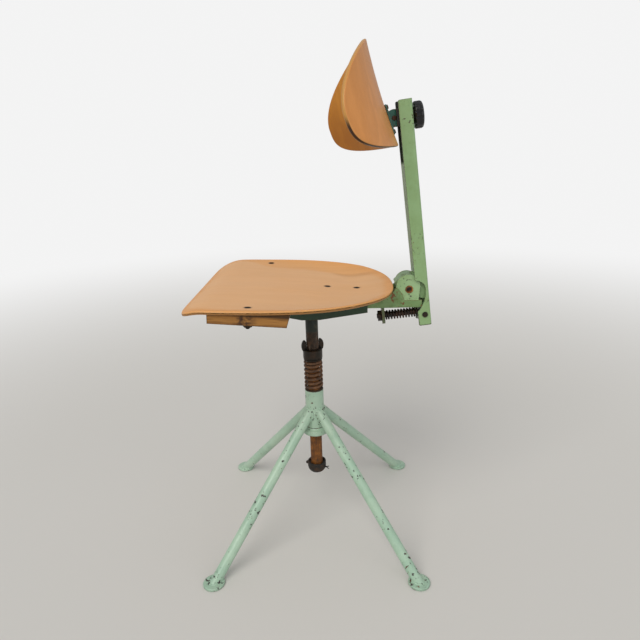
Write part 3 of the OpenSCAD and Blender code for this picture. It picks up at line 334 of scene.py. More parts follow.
base_paint = worn_paint("base_paint", (0.34, 0.50, 0.37), (0.41, 0.56, 0.42), chips=0.345, rubbed=0.40,
                        chip_scale=150.0, rust=0.35, gather=14.0)
leg_nodes = ["leg_front_left", "leg_front_right", "leg_rear_left", "leg_rear_right"]
foot_nodes = ["foot_front_left", "foot_front_right", "foot_rear_left", "foot_rear_right"]


def finish_nodes(material, *names):
    """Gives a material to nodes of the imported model, in place of their plain colour."""
    for name in names:
        mesh = frame["nodes"][name].data
        mesh.materials.clear()
        mesh.materials.append(material)


finish_nodes(base_paint, "hub_tube", "hub_flange", *leg_nodes, *foot_nodes)


def tube_points(path, radius, sides, heading=None):
    """A round bar along a path: at each point a ring of sides points, square to the path's direction.
    radius is one number, or one for each point of the path."""
    path = np.asarray(path, float)
    if heading is None:
        heading = np.gradient(path, axis=0)
    heading = heading / np.linalg.norm(heading, axis=1)[:, None]
    lift = np.where(np.abs(heading[:, 2:3]) < 0.9, [[0.0, 0.0, 1.0]], [[1.0, 0.0, 0.0]])
    first = np.cross(lift, heading)
    first /= np.linalg.norm(first, axis=1)[:, None]
    second = np.cross(heading, first)
    turn = np.linspace(0, 2 * np.pi, sides, endpoint=False)
    ring = np.cos(turn)[None, :, None] * first[:, None] + np.sin(turn)[None, :, None] * second[:, None]
    return path[:, None] + ring * np.broadcast_to(radius, len(path))[:, None, None]


foot_square, leg_meet_z, leg_radius, hub_radius, foot_top = 360.0, 259.0, 9.5, 17.5, 5.0
leg_run = np.array([foot_square / math.sqrt(2), 0, -leg_meet_z])
leg_length = np.linalg.norm(leg_run)


def on_leg(points, turn):
    """Points drawn for a leg that runs along X, turned by turn degrees about the upright middle line of
    the base and set on the swivel axis."""
    spin = math.radians(turn)
    rotate = np.array([[math.cos(spin), -math.sin(spin), 0], [math.sin(spin), math.cos(spin), 0], [0, 0, 1]])
    return points @ rotate.T + [axis_x, 0, 0]


def hub_weld(turn):
    """The bead where a leg meets the hub: the closed curve on which a tube leaning along the leg's axis
    cuts the hub's cylinder, carried by a ring whose radius swells and shrinks like laid weld metal."""
    down = leg_run / leg_length
    side = np.array([0.0, 1.0, 0.0])
    across = np.cross(down, side)
    angle = np.linspace(0, 2 * np.pi, 96, endpoint=False)
    rim = leg_radius * (np.cos(angle)[:, None] * side + np.sin(angle)[:, None] * across)
    # the rim point slides along the leg until it is hub_radius from the hub's axis
    slide = (np.sqrt(hub_radius ** 2 - rim[:, 1] ** 2) - rim[:, 0]) / down[0]
    curve = rim + slide[:, None] * down + [0, 0, leg_meet_z]
    closed = np.vstack([curve[-1:], curve, curve[:1]])
    heading = np.gradient(closed, axis=0)[1:-1]
    bead = 2.0 + 0.35 * np.sin(17 * angle + turn) + 0.2 * np.sin(5 * angle)
    return on_leg(tube_points(curve, bead, 12, heading), turn)


def foot_weld(turn):
    """The bead where a leg stands on its foot plate: the leaning tube's ellipse at the plate's top."""
    reach = leg_run[0] * (leg_meet_z - foot_top) / leg_meet_z
    stretch = leg_length / leg_meet_z
    angle = np.linspace(0, 2 * np.pi, 72, endpoint=False)
    curve = np.stack([reach + leg_radius * stretch * np.cos(angle), leg_radius * np.sin(angle),
                      np.full(72, foot_top)], -1)
    heading = np.stack([-np.sin(angle), np.cos(angle), 0 * angle], -1)
    bead = 1.5 + 0.25 * np.sin(9 * angle + turn)
    return on_leg(tube_points(curve, bead, 10, heading), turn)


for name, turn in zip(leg_nodes, (225, 135, 315, 45)):
    for label, points in (("hub_weld", hub_weld(turn)), ("foot_weld", foot_weld(turn))):
        bead = put(f"{label}_{name[4:]}", grid_mesh(label, points, around=True, along=True), base_paint)
        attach(bead, "base")


# Bushes: two bronze bushes pressed into the hub, the upper one with a collar that the spring stands on.
# Only the collar, grey with dirt, and the bores' ends show. The knob's insert is the same metal.
def rubbed_metal(name, colour, shade, rough, metallic):
    """Bare metal with a drift between two tones, fine scratches and slightly rounded edges."""
    material, tree, shader, where = new_material(name, rough, metallic)
    tone = smooth_step(tree, noise(tree, where, 60.0, 6.0, 0.65), 0.35, 0.7)
    tree.links.new(blend_colour(tree, tone, colour, shade), shader["Base Color"])
    tree.links.new(calc(tree, "ADD", rough - 0.1, times(tree, tone, 0.2)), shader["Roughness"])
    rub = place_group(tree, edge_rub, {"Vector": where, "Radius": 0.0008})
    tree.links.new(bump(tree, noise(tree, where, 900.0, 3.0), 0.00006, rub["Normal"]), shader["Normal"])
    return material


bronze = rubbed_metal("bronze", (0.62, 0.33, 0.13), (0.30, 0.15, 0.06), 0.36, 0.9)
dull_bronze = rubbed_metal("dull_bronze", (0.15, 0.115, 0.08), (0.07, 0.05, 0.035), 0.55, 0.5)
finish_nodes(bronze, "lower_bush", "knob_insert")
finish_nodes(dull_bronze, "upper_bush")


# Seat spring: a coil of seven turns of round wire with closed ends, once dark and now brown with rust,
# standing on the upper bush under the thrust washer. It shortens as the seat is loaded.
def rusty(name, dark, rust, share, rough=0.72, metallic=0.25, pits=0.0005, scale=75.0, specular=0.5):
    """Rusted steel: dark scale and orange-brown rust in clouds, with a pitted, dull surface."""
    material, tree, shader, where = new_material(name, rough, metallic, specular)
    cloud = noise(tree, where, scale, 7.0, 0.68)
    level = 0.78 - share * 0.55
    red = smooth_step(tree, cloud, level - 0.14, level + 0.14)
    speck = smooth_step(tree, noise(tree, where, 480.0, 4.0, 0.7), 0.42, 0.7)
    tone = blend_colour(tree, red, dark, rust)
    tone = blend_colour(tree, times(tree, speck, 0.55), tone, (0.35, 0.3, 0.27), "MULTIPLY")
    tree.links.new(tone, shader["Base Color"])
    tree.links.new(calc(tree, "ADD", rough - 0.15, times(tree, red, 0.25)), shader["Roughness"])
    rub = place_group(tree, edge_rub, {"Vector": where, "Radius": 0.001})
    tree.links.new(bump(tree, cloud, pits, rub["Normal"]), shader["Normal"])
    return material


def coil_points(inner, wire, turns, length):
    """A compression spring along Z from 0 to length, round a free bore of radius inner: the wire's axis
    climbs slowly in the first and the last turn and evenly between them, and its ends are drawn in."""
    turn = np.linspace(0, turns, int(turns * 40) + 1)
    end_pitch = wire * 1.12
    rise = length - wire
    mid_pitch = (rise - 2 * end_pitch) / (turns - 2)
    height = np.interp(turn, [0, 0.8, 1.2, turns - 1.2, turns - 0.8, turns],
                       [0, 0.8 * end_pitch, end_pitch + 0.2 * mid_pitch, rise - end_pitch - 0.2 * mid_pitch,
                        rise - 0.8 * end_pitch, rise])
    radius = inner + wire / 2
    path = np.stack([radius * np.cos(2 * np.pi * turn), radius * np.sin(2 * np.pi * turn),
                     height + wire / 2], -1)
    girth = np.full(len(turn), wire / 2)
    girth[[0, -1]] = 0.02
    girth[[1, -2]] *= 0.8
    return tube_points(path, girth, 16)


def tube_mesh(name, points):
    """A closed tube mesh over rings of points, with one face across each end."""
    mesh = grid_mesh(name, points, around=True)
    columns = points.shape[1]
    shape = bmesh.new()
    shape.from_mesh(mesh)
    corners = shape.verts[:]
    shape.faces.new(corners[:columns][::-1])
    shape.faces.new(corners[-columns:])
    bmesh.ops.recalc_face_normals(shape, faces=shape.faces)
    shape.to_mesh(mesh)
    shape.free()
    return mesh


spindle_radius, spring_gap, spring_wire, spring_turns = 11.5, 1.0, 5.2, 7
spring_low, spring_high = (corner[2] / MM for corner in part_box("seat_spring"))
spring_length = spring_high - spring_low
spring_rust = rusty("spring_rust", (0.060, 0.032, 0.018), (0.21, 0.105, 0.050), 0.55)
seat_coil_points = coil_points(spindle_radius + spring_gap, spring_wire, spring_turns, spring_length)
seat_coil_mesh = tube_mesh("seat_coil", seat_coil_points + [axis_x, 0, spring_low])
seat_coil = put("seat_coil", seat_coil_mesh, spring_rust)
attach(seat_coil, "base")
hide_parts("seat_spring")
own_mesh(seat_coil)


# Height nut: a turned steel nut with two thin upright ears to grip, dark brown with old oil, and the
# washer between it and the spring.
oiled = rusty("oiled_steel", (0.020, 0.016, 0.011), (0.060, 0.032, 0.016), 0.42, rough=0.5, metallic=0.5,
              pits=0.00025, scale=60.0)
finish_nodes(oiled, "height_nut", "thrust_washer")


# Spindle: a 23 mm steel bar. Above the nut it carries a coarse thread, dark with old oil, and higher up
# the seat's nearly black paint; below the hub it is bare and orange with rust. The end cup is pinned on
# with a split pin.
seat_z = pivot[2] + 7.4
thread_pitch, thread_depth = 3.2, 0.55
thread_low, thread_high = 352.0, seat_z - 84.0
rust_end = (0.335, 0.345)


def spindle_points():
    """A bar along Z whose radius dips along a helix between two heights: the dip is a rounded V of
    thread_depth that repeats every thread_pitch and turns once round the bar in that height. The bar
    stays a little inside its solid, its foot is chamfered, and its end rings close to a point."""
    inside, chamfer, point = 0.02, 0.8, 0.05
    bottom, top = (corner[2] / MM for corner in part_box("spindle"))
    height = np.concatenate([
        [bottom + point, bottom + point, bottom + chamfer], np.linspace(bottom + 2, thread_low - 1, 60),
        np.arange(thread_low, thread_high, 0.4), [thread_high + 1, top - point, top - point]])
    turn = np.linspace(0, 2 * np.pi, 72, endpoint=False)
    phase = np.mod(height[:, None] / thread_pitch - turn[None] / (2 * np.pi), 1.0)
    dip = thread_depth * np.clip(1.35 * np.abs(2 * phase - 1) - 0.35, 0, 1)
    fade = np.clip((height - thread_low) / 4, 0, 1) * np.clip((thread_high - height) / 4, 0, 1)
    radius = spindle_radius - inside - dip * fade[:, None]
    radius[0] = radius[-1] = point
    radius[1] -= chamfer
    return np.stack([axis_x + radius * np.cos(turn), radius * np.sin(turn),
                     np.broadcast_to(height[:, None], radius.shape)], -1)


def axes(tree, where):
    """The three coordinates of a place, by name."""
    return add(tree, "ShaderNodeSeparateXYZ", {0: where}).outputs


def drawn_out(tree, where, scale):
    """Coordinates on which a pattern is drawn out along each axis whose scale is small."""
    return add(tree, "ShaderNodeMapping", {"Vector": where, "Scale": scale}).outputs[0]


def spindle_finish():
    """Orange rust up to rust_end, oily brown thread above it with paler streaks that are painted highlights,
    and black-green paint from thread_high up, with ragged changes between them."""
    material, tree, shader, where = new_material("spindle_finish", 0.55, 0.2)
    cloud = noise(tree, where, 70.0, 7.0, 0.68)
    streak = noise(tree, drawn_out(tree, where, (1, 1, 0.12)), 320.0)
    rust = smooth_step(tree, cloud, 0.38, 0.66)
    rust = blend_colour(tree, rust, (0.13, 0.045, 0.008), (0.33, 0.115, 0.014))
    rust = blend_colour(tree, smooth_step(tree, streak, 0.5, 0.75), rust, (0.05, 0.028, 0.015))
    oily = smooth_step(tree, cloud, 0.40, 0.62)
    oily = blend_colour(tree, oily, (0.030, 0.018, 0.010), (0.085, 0.042, 0.020))
    # painted highlights: paler upright streaks on the oily thread
    pale = times(tree, smooth_step(tree, streak, 0.56, 0.72), 0.6)
    oily = blend_colour(tree, pale, oily, (0.26, 0.20, 0.16))
    paint = smooth_step(tree, cloud, 0.50, 0.70)
    paint = blend_colour(tree, paint, (0.009, 0.015, 0.009), (0.045, 0.040, 0.022))
    ragged = times(tree, calc(tree, "SUBTRACT", cloud, 0.5), 0.02)
    level = calc(tree, "ADD", axes(tree, where)["Z"], ragged)
    tone = blend_colour(tree, smooth_step(tree, level, *rust_end), rust, oily)
    painted = smooth_step(tree, level, (thread_high - 6) * MM, (thread_high + 1) * MM)
    tree.links.new(blend_colour(tree, painted, tone, paint), shader["Base Color"])
    tree.links.new(calc(tree, "SUBTRACT", 0.66, times(tree, painted, 0.24)), shader["Roughness"])
    tree.links.new(bump(tree, cloud, 0.0004), shader["Normal"])
    return material


bar = put("spindle_bar", tube_mesh("spindle_bar", spindle_points()), spindle_finish())
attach(bar, "seat")
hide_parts("spindle")
cup_rust = rusty("cup_rust", (0.018, 0.015, 0.012), (0.10, 0.050, 0.026), 0.34, pits=0.0006, scale=55.0)
finish_nodes(cup_rust, "end_cup", "cotter_pin")


# Seat structure: a pressed steel channel under the seat with the spindle's socket welded into it and a flat
# strip across its front, all in a dark green, painted darker than their own colour as painted shade for
# their place under the seat.
# painted shade: the green is darkened for the shade under the seat
shaded_spine_paint = worn_paint("shaded_spine_paint", (0.011, 0.036, 0.015), (0.018, 0.052, 0.022), chips=0.34,
                         rubbed=0.3, rough=0.55)
finish_nodes(shaded_spine_paint, "seat_spine", "cross_strip", "spindle_socket")


# Packing blocks: two hardwood blocks between the strip and the plywood, darker than the seat, each stained
# round the bolt that runs through it and dark at its edges, with painted shade making it nearly black under
# the pan.
def wood_grain_group():
    """Long fibres along X, fine pores, and a slower figure of early and late wood across them."""
    tree, given, out = group(
        "wood_grain", [("Vector", VECTOR, None), ("Light", COLOUR, (0.7, 0.45, 0.22, 1)),
                       ("Dark", COLOUR, (0.45, 0.24, 0.09, 1)), ("Figure Scale", FLOAT, 12.0),
                       ("Figure", FLOAT, 0.5), ("Fibre", FLOAT, 0.4)],
        [("Color", COLOUR), ("Height", FLOAT)])
    slow = drawn_out(tree, given["Vector"], (0.10, 1, 1))
    fast = drawn_out(tree, given["Vector"], (0.045, 1, 1))
    figure = add(tree, "ShaderNodeTexNoise", {"Vector": slow, "Scale": given["Figure Scale"], "Detail": 4.0,
                                              "Roughness": 0.55, "Distortion": 0.2}).outputs["Fac"]
    rings = calc(tree, "FRACT", times(tree, figure, 9.0))
    rings = times(tree, smooth_step(tree, rings, 0.0, 0.75), fall(tree, rings, 0.88, 1.0))
    fibre = noise(tree, fast, 620.0, 5.0, 0.65)
    pores = smooth_step(tree, noise(tree, fast, 1100.0, 3.0, 0.6), 0.60, 0.74)
    streaks = times(tree, calc(tree, "SUBTRACT", fibre, 0.4), given["Fibre"])
    dark = calc(tree, "ADD", times(tree, rings, given["Figure"]), streaks)
    dark = calc(tree, "ADD", dark, times(tree, pores, 0.28))
    tree.links.new(blend_colour(tree, dark, given["Light"], given["Dark"]), out["Color"])
    tree.links.new(calc(tree, "SUBTRACT", fibre, times(tree, pores, 0.6)), out["Height"])
    return tree


wood_grain = wood_grain_group()
pan_thick, pan_fall = 6.3, 0.0813
bolt_stain = ((axis_x - 90) * MM, -0.177, (seat_z - 8) * MM)


def block_finish():
    """Brown wood, stained round the bolt's place. The pan's underside falls to the rear by pan_fall of the
    way along X: painted shade makes the block nearly black where its height comes close to that line, and it
    is dark at its edges too."""
    material, tree, shader, where = new_material("block_wood", 0.62, 0.0, 0.35)
    grain = place_group(tree, wood_grain, {
        "Vector": where, "Light": (0.38, 0.175, 0.040, 1), "Dark": (0.16, 0.065, 0.012, 1),
        "Figure Scale": 26.0, "Figure": 0.55, "Fibre": 0.7})
    far = add(tree, "ShaderNodeVectorMath", {0: where, 1: bolt_stain}, operation="DISTANCE").outputs["Value"]
    ragged = smooth_step(tree, noise(tree, where, 130.0), 0.35, 0.6)
    stain = times(tree, fall(tree, far, 0.004, 0.022), ragged)
    tone = blend_colour(tree, stain, grain["Color"], (0.05, 0.02, 0.008))
    place = axes(tree, where)
    under_pan = calc(tree, "MULTIPLY_ADD", calc(tree, "SUBTRACT", place["X"], axis_x * MM), -pan_fall,
                     (seat_z - pan_thick) * MM)
    # painted shade: nearly black just under the pan's underside
    shaded = fall(tree, calc(tree, "SUBTRACT", under_pan, place["Z"]), -0.001, 0.003)
    rub = place_group(tree, edge_rub, {"Vector": where, "Radius": 0.0022, "Amount": 0.7})
    # the painted shade under the pan together with the dark edges
    shade_and_dark_edges = calc(tree, "MAXIMUM", shaded, times(tree, rub["Mask"], 0.8))
    tone = blend_colour(tree, times(tree, shade_and_dark_edges, 0.85), tone, (0.025, 0.011, 0.004))
    tree.links.new(tone, shader["Base Color"])
    tree.links.new(bump(tree, grain["Height"], 0.0003, rub["Normal"]), shader["Normal"])
    return material


finish_nodes(block_finish(), "packing_block_left", "packing_block_right")


# Seat: a pressed plywood pan, 6 mm thick. Its rim lifts towards the rear and its front edge rolls down.
# The varnish has worn pale and dull in the middle and stays orange round the raised rim.
pan_front, pan_rear, pan_half, pan_widest = 195.0, 146.0, 184.8, 85.3
front_powers, rear_power = (4.25, 9.1), 2.34
pan_slope = math.radians(4.65)
rim_rise, rim_start, lift_from, lift_length = 13.6, 0.70, 147.7, 246.0
roll_length, roll_drop, roll_lean = 50.0, 17.0, 0.35


def pan_edge(angle):
    """Distance from the widest line's middle to the rim, found by halving a bracket: on the rim the share
    of the reach along X, to a first power, and the share of the half width, to a second, add up to 1.
    Both powers are higher ahead of the widest line, where the pan is squarer."""
    ahead = np.cos(angle) < 0
    along = np.abs(np.cos(angle)) / np.where(ahead, pan_front - pan_widest, pan_rear + pan_widest)
    across = np.abs(np.sin(angle)) / pan_half
    first, second = (np.where(ahead, power, rear_power) for power in front_powers)
    low, high = np.full(len(angle), 1.0), np.full(len(angle), 400.0)
    for _ in range(34):
        middle = (low + high) / 2
        outside = (along * middle) ** first + (across * middle) ** second > 1
        low, high = np.where(outside, low, middle), np.where(outside, middle, high)
    return (low + high) / 2


def pan_place(x, y, share, depth):
    """A point of the pan: the rim lifts as the 1.5th power of the share past rim_start, more to the rear,
    and the front falls as the square of the way into the roll. depth goes straight through the pan, and
    leans by a part of the roll's slope. The whole then slopes to the rear by pan_slope."""
    lift = rim_rise * np.clip((x + lift_from) / lift_length, 0, 1)
    rise = np.clip(share - rim_start, 0, None) / (1 - rim_start)
    fall_way = np.clip(-x - pan_front + roll_length, 0, None) / roll_length
    slope = 2 * roll_drop / roll_length * fall_way
    x = x + depth * slope / np.sqrt(1 + slope ** 2) * roll_lean
    z = lift * rise ** 1.5 - roll_drop * fall_way ** 2 - depth
    return np.stack([axis_x + x * math.cos(pan_slope) + z * math.sin(pan_slope), y + 0 * x,
                     seat_z - x * math.sin(pan_slope) + z * math.cos(pan_slope)], -1)


def pressed_panel(name, edge_x, edge_y, centre, place, thick, rings=26):
    """A closed panel over a flat outline: rings shrink from the outline to its centre on both faces, and
    between them the edge turns as a quarter circle, a straight wall and a quarter circle. place lifts
    each flat point, with its share of the way out and its depth, into space. Two attributes are kept:
    layer, the share of the depth, and brink, the distance from the outline in metres."""
    roundness = 2.6
    share = np.sin(np.linspace(0.0, 1.0, rings) * np.pi / 2 * 0.97) / np.sin(np.pi / 2 * 0.97)
    arc = np.linspace(0, np.pi / 2, 6)
    inset = np.concatenate([roundness * (1 - np.sin(arc)), [0.0, 0.0], roundness * (1 - np.sin(arc[::-1]))])
    depth = np.concatenate([roundness * (1 - np.cos(arc)), [thick * 0.4, thick * 0.6],
                            thick - roundness * (1 - np.cos(arc[::-1]))])
    size = np.hypot(edge_x - centre[0], edge_y - centre[1])
    flat = share[:-1, None] * (size[None] - roundness)
    walls = size[None] - inset[:, None]
    radial = np.vstack([flat, walls, flat[::-1]])
    deep = np.concatenate([np.zeros(rings - 1), depth, np.full(rings - 1, thick)])
    part = radial / size[None]
    x = centre[0] + (edge_x - centre[0])[None] * part
    y = centre[1] + (edge_y - centre[1])[None] * part
    points = place(x, y, part, deep[:, None] + 0 * x)
    mesh = grid_mesh(name, points[:, ::-1], around=True)
    for label, values in (("layer", np.repeat(deep, len(edge_x)) / thick),
                          ("brink", (size[None] - radial)[:, ::-1].ravel() * MM)):
        mesh.attributes.new(label, "FLOAT", "POINT").data.foreach_set("value", values.astype(np.float32))
    shape = bmesh.new()
    shape.from_mesh(mesh)
    bmesh.ops.remove_doubles(shape, verts=shape.verts, dist=1e-7)
    bmesh.ops.recalc_face_normals(shape, faces=shape.faces)
    shape.to_mesh(mesh)
    shape.free()
    return mesh


def kept(tree, name):
    """What pressed_panel keeps on the mesh under a name: layer or brink."""
    return add(tree, "ShaderNodeAttribute", attribute_name=name).outputs["Fac"]


def plywood(name, light, dark, worn, worn_mask, edges, turn, rough, figure_scale, figure, fibre,
            sheet_share=0.3, rim=None, marks=()):
    """Varnished plywood. The faces show long grain under a varnish that is worn where worn_mask says; the
    edge runs through three tones with the depth, read from the layer attribute, with its sheets faintly
    seen. At each of the marks is a black bolt head with a brown ring of oil and dirt."""
    material, tree, shader, where = new_material(name, rough, 0.0, 0.4)
    lay = add(tree, "ShaderNodeMapping", {"Vector": where, "Rotation": turn}).outputs[0]
    grain = place_group(tree, wood_grain, {"Vector": lay, "Light": (*light, 1), "Dark": (*dark, 1),
                                           "Figure Scale": figure_scale, "Figure": figure, "Fibre": fibre})
    brink, layer = kept(tree, "brink"), kept(tree, "layer")
    tone = grain["Color"]
    if rim is not None:
        tone = blend_colour(tree, times(tree, fall(tree, brink, 0.0, 0.035), 0.7), tone, rim, "MULTIPLY")
    bare = worn_mask(tree, where, brink)
    tone = blend_colour(tree, bare, tone, blend_colour(tree, 0.45, worn, grain["Color"]))
    head = 0.0
    for mark in marks:
        far = add(tree, "ShaderNodeVectorMath", {0: where, 1: mark}, operation="DISTANCE").outputs["Value"]
        far = calc(tree, "ADD", far, times(tree, noise(tree, where, 260.0, 4.0), 0.004))
        ring = times(tree, fall(tree, far, 0.0070, 0.0110), 0.5)
        tone = blend_colour(tree, ring, tone, (0.30, 0.13, 0.045))
        spot = fall(tree, far, 0.0068, 0.0080)
        tone = blend_colour(tree, spot, tone, (0.002, 0.0015, 0.001))
        head = calc(tree, "MAXIMUM", head, spot)
    ply = blend_colour(tree, smooth_step(tree, layer, 0.02, 0.42), edges[0], edges[1])
    ply = blend_colour(tree, smooth_step(tree, layer, 0.62, 0.98), ply, edges[2])
    sheets = smooth_step(tree, calc(tree, "PINGPONG", calc(tree, "ADD", layer, 0.02), 0.2), 0.06, 0.14)
    ply = blend_colour(tree, times(tree, sheets, sheet_share), ply, (0.5, 0.42, 0.34), "MULTIPLY")
    side = fall(tree, calc(tree, "ABSOLUTE", calc(tree, "SUBTRACT", layer, 0.5)), 0.38, 0.47)
    tree.links.new(blend_colour(tree, side, tone, ply), shader["Base Color"])
    gloss = calc(tree, "ADD", times(tree, bare, 0.16), times(tree, noise(tree, where, 26.0, 3.0), 0.14))
    gloss = calc(tree, "ADD", gloss, rough - 0.07)
    tree.links.new(calc(tree, "MAXIMUM", gloss, head), shader["Roughness"])
    tree.links.new(bump(tree, grain["Height"], 0.00010), shader["Normal"])
    return material


def overlay(material, mask, colour, kind="MIX"):
    """Lays one more tone over a finished material's base colour, where a mask made in its tree says so."""
    base = material.node_tree.nodes["Principled BSDF"].inputs["Base Color"]
    over = blend_colour(material.node_tree, mask, base.links[0].from_socket, colour, kind)
    material.node_tree.links.new(over, base)


def between(tree, value, low, high, soft):
    """1 where value lies between low and high, with soft ends."""
    return times(tree, smooth_step(tree, value, low - soft, low + soft),
                 fall(tree, value, high - soft, high + soft))


bank_front, bank_rear, bank_soft, bank_width = -0.12, 0.085, 0.04, 0.048


def raised_bank(tree, x):
    """How far the bank of the raised far side reaches in from the rim, in metres, at a place along X."""
    return times(tree, between(tree, x, bank_front, bank_rear, bank_soft), bank_width)


def painted_fold_shadow(tree):
    """A painted shadow, darker brown, along the foot of the bank towards its rear end, where the fold is."""
    place = axes(tree, own_place(tree))
    foot = calc(tree, "SUBTRACT", kept(tree, "brink"), raised_bank(tree, place["X"]))
    far = smooth_step(tree, place["Y"], 0.06, 0.11)
    rear = between(tree, place["X"], 0.045, 0.11, 0.025)
    line = between(tree, foot, 0.008, 0.018, 0.006)
    return times(tree, times(tree, line, times(tree, far, rear)), 0.9)


def seat_worn(tree, where, brink):
    """The seat's bare middle, in soft clouds drawn out along the grain: it stops close to the rim on the
    near side and at the front, and at the foot of the bank along the raised far side."""
    cloud = noise(tree, drawn_out(tree, where, (0.25, 1, 1)), 15.0, 4.0, 0.6)
    place = axes(tree, where)
    bank = times(tree, smooth_step(tree, place["Y"], 0.0, 0.10), raised_bank(tree, place["X"]))
    ragged = calc(tree, "ADD", brink, times(tree, calc(tree, "SUBTRACT", cloud, 0.5), 0.02))
    inner = smooth_step(tree, calc(tree, "SUBTRACT", ragged, bank), 0.006, 0.020)
    return times(tree, inner, calc(tree, "MULTIPLY_ADD", smooth_step(tree, cloud, 0.25, 0.7), 0.35, 0.65))


def on_pan(x, y):
    """The place of a seat bolt's head on the pan's top, in metres."""
    share = math.hypot(x + pan_widest, y) / float(pan_edge(np.array([math.atan2(y, x + pan_widest)]))[0])
    return tuple(pan_place(np.array([x]), np.array([y]), np.array([share]), np.array([0.0]))[0] * MM)


bolt_places = ((-87.4, -157.0), (-87.4, 157.0), (31.0, 0.0), (83.0, 0.0))
# The seat's edge darkens with the depth to nearly black at the bottom: painted shade on the edge, which is
# turned from the light.
seat_ply = plywood("seat_ply", (0.80, 0.400, 0.135), (0.64, 0.285, 0.080), (0.82, 0.530, 0.310), seat_worn,
                   ((0.80, 0.41, 0.15), (0.58, 0.27, 0.075), (0.15, 0.06, 0.015)), (0, 0, 0), rough=0.42,
                   figure_scale=9.0, figure=0.22, fibre=0.5, sheet_share=0.12, rim=(1.0, 0.90, 0.70),
                   marks=[on_pan(*place) for place in bolt_places])
# painted shadow along the foot of the raised bank
overlay(seat_ply, painted_fold_shadow(seat_ply.node_tree), (0.40, 0.17, 0.04))
pan_angle = np.linspace(0, 2 * np.pi, 288, endpoint=False)
pan_mesh = pressed_panel("seat_panel", -pan_widest + pan_edge(pan_angle) * np.cos(pan_angle),
                         pan_edge(pan_angle) * np.sin(pan_angle), (-pan_widest, 0.0), pan_place, pan_thick)
seat_panel = put("seat_panel", pan_mesh, seat_ply)
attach(seat_panel, "seat")
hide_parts("seat_pan")


# Seat bolts: two countersunk steel bolts at the front and two in the middle line, with nuts below, all
# dark. The panel's varnish lies over their heads, so the panel carries their marks.
finish_nodes(oiled, "front_bolt_nuts", "rear_bolt_nuts")
black_heads = rusty("bolt_heads", (0.007, 0.005, 0.004), (0.10, 0.045, 0.020), 0.35, rough=0.9,
                    metallic=0.0, scale=200.0, specular=0.0)
finish_nodes(black_heads, "front_seat_bolts", "rear_seat_bolts")


# Rear bracket: a channel with two cheeks welded into it, which carry the hollow pivot, and a lug below for
# the rod. Sage green, with brown marks on the channel and the paint gone at the edges; the channel's green
# is darker than the cheeks', partly painted shade.
# painted shade: the channel's green is a darker copy of the cheeks', with olive grime over it
shaded_bracket_paint = worn_paint("shaded_bracket_paint", (0.150, 0.250, 0.090), (0.185, 0.305, 0.120), chips=0.36,
                           rubbed=0.46, rough=0.42, chip_scale=150.0, rust=0.8, gather=40.0,
                           grime=(0.45, 0.42, 0.16), grime_share=0.8)
cheek_paint = worn_paint("cheek_paint", (0.285, 0.43, 0.20), (0.33, 0.49, 0.25), chips=0.35, rubbed=0.50,
                         rough=0.34, chip_scale=170.0, rust=0.4, grime=(0.55, 0.56, 0.30), grime_share=0.6)
lug_paint = worn_paint("lug_paint", (0.085, 0.12, 0.055), (0.12, 0.15, 0.07), chips=0.36, rubbed=0.4,
                       rust=0.6)
pivot_bronze = rubbed_metal("pivot_bronze", (0.42, 0.16, 0.035), (0.12, 0.045, 0.012), 0.62, 0.25)
finish_nodes(shaded_bracket_paint, "rear_bracket")
finish_nodes(lug_paint, "spring_lug")
finish_nodes(cheek_paint, "cheek_left", "cheek_right")
finish_nodes(pivot_bronze, "pivot_tube")
cheek_side, weld_drop = 17.0, 18.8
weld_x = np.linspace(-11.5, 17.5, 48)
for label, side in (("left", -1), ("right", 1)):
    weld_path = np.stack([pivot[0] + weld_x, np.full(48, side * cheek_side),
                          pivot[2] - weld_drop + 0.15 * np.sin(weld_x * 2)], -1)
    weld_girth = 1.15 + 0.18 * np.sin(weld_x * 2.6)
    weld_girth[[0, -1]] = 0.05
    weld_mesh = tube_mesh("cheek_weld", tube_points(weld_path, weld_girth, 10))
    cheek_weld = put(f"cheek_weld_{label}", weld_mesh, cheek_paint)
    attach(cheek_weld, "seat")


# Back arm: a pressed channel with a long slot in its web, a knuckle welded inside it that turns on the pivot
# tube, and the cross pin near its lower end. Its far front edge is nearly black in the upper half, where the
# clamp slides, and pale below, rubbed paint with a painted highlight; its lower corners are rusty.
arm_paint = worn_paint("arm_paint", (0.245, 0.385, 0.165), (0.275, 0.43, 0.20), chips=0.335, rubbed=0.46,
                       rough=0.36, chip_scale=190.0, rust=0.45, gather=18.0, grime=(0.62, 0.62, 0.36),
                       grime_share=0.55)
arm_lean = math.radians(6.54)
dark_edge_from, rusty_below = (0.694, 0.700), (0.424, 0.450)


def arm_wear(tree):
    """Three masks: the far front edge below the clamp's way, the same edge along it, and the lower
    corners. The edge is where the distance from the pivot's line, square to the arm, is small."""
    where = own_place(tree)
    place = axes(tree, where)
    from_pivot = add(tree, "ShaderNodeVectorMath", {0: where, 1: tuple(pivot * MM)}, operation="SUBTRACT")
    square = (math.cos(arm_lean), 0, math.sin(arm_lean))
    from_line = add(tree, "ShaderNodeVectorMath", {0: from_pivot.outputs[0], 1: square},
                    operation="DOT_PRODUCT").outputs["Value"]
    edge = times(tree, smooth_step(tree, place["Y"], 0.0, 0.004), fall(tree, from_line, 0.0150, 0.0250))
    corners = place_group(tree, edge_rub, {"Vector": where, "Radius": 0.004, "Amount": 0.85})["Mask"]
    return (times(tree, edge, fall(tree, place["Z"], *dark_edge_from)),
            times(tree, edge, smooth_step(tree, place["Z"], *dark_edge_from)),
            times(tree, corners, fall(tree, place["Z"], *rusty_below)))


pale_rub_and_highlight, clamp_way_dark, corner_rust = arm_wear(arm_paint.node_tree)
# pale along the far front edge: rubbed paint with a painted highlight
overlay(arm_paint, pale_rub_and_highlight, (0.42, 0.48, 0.38))
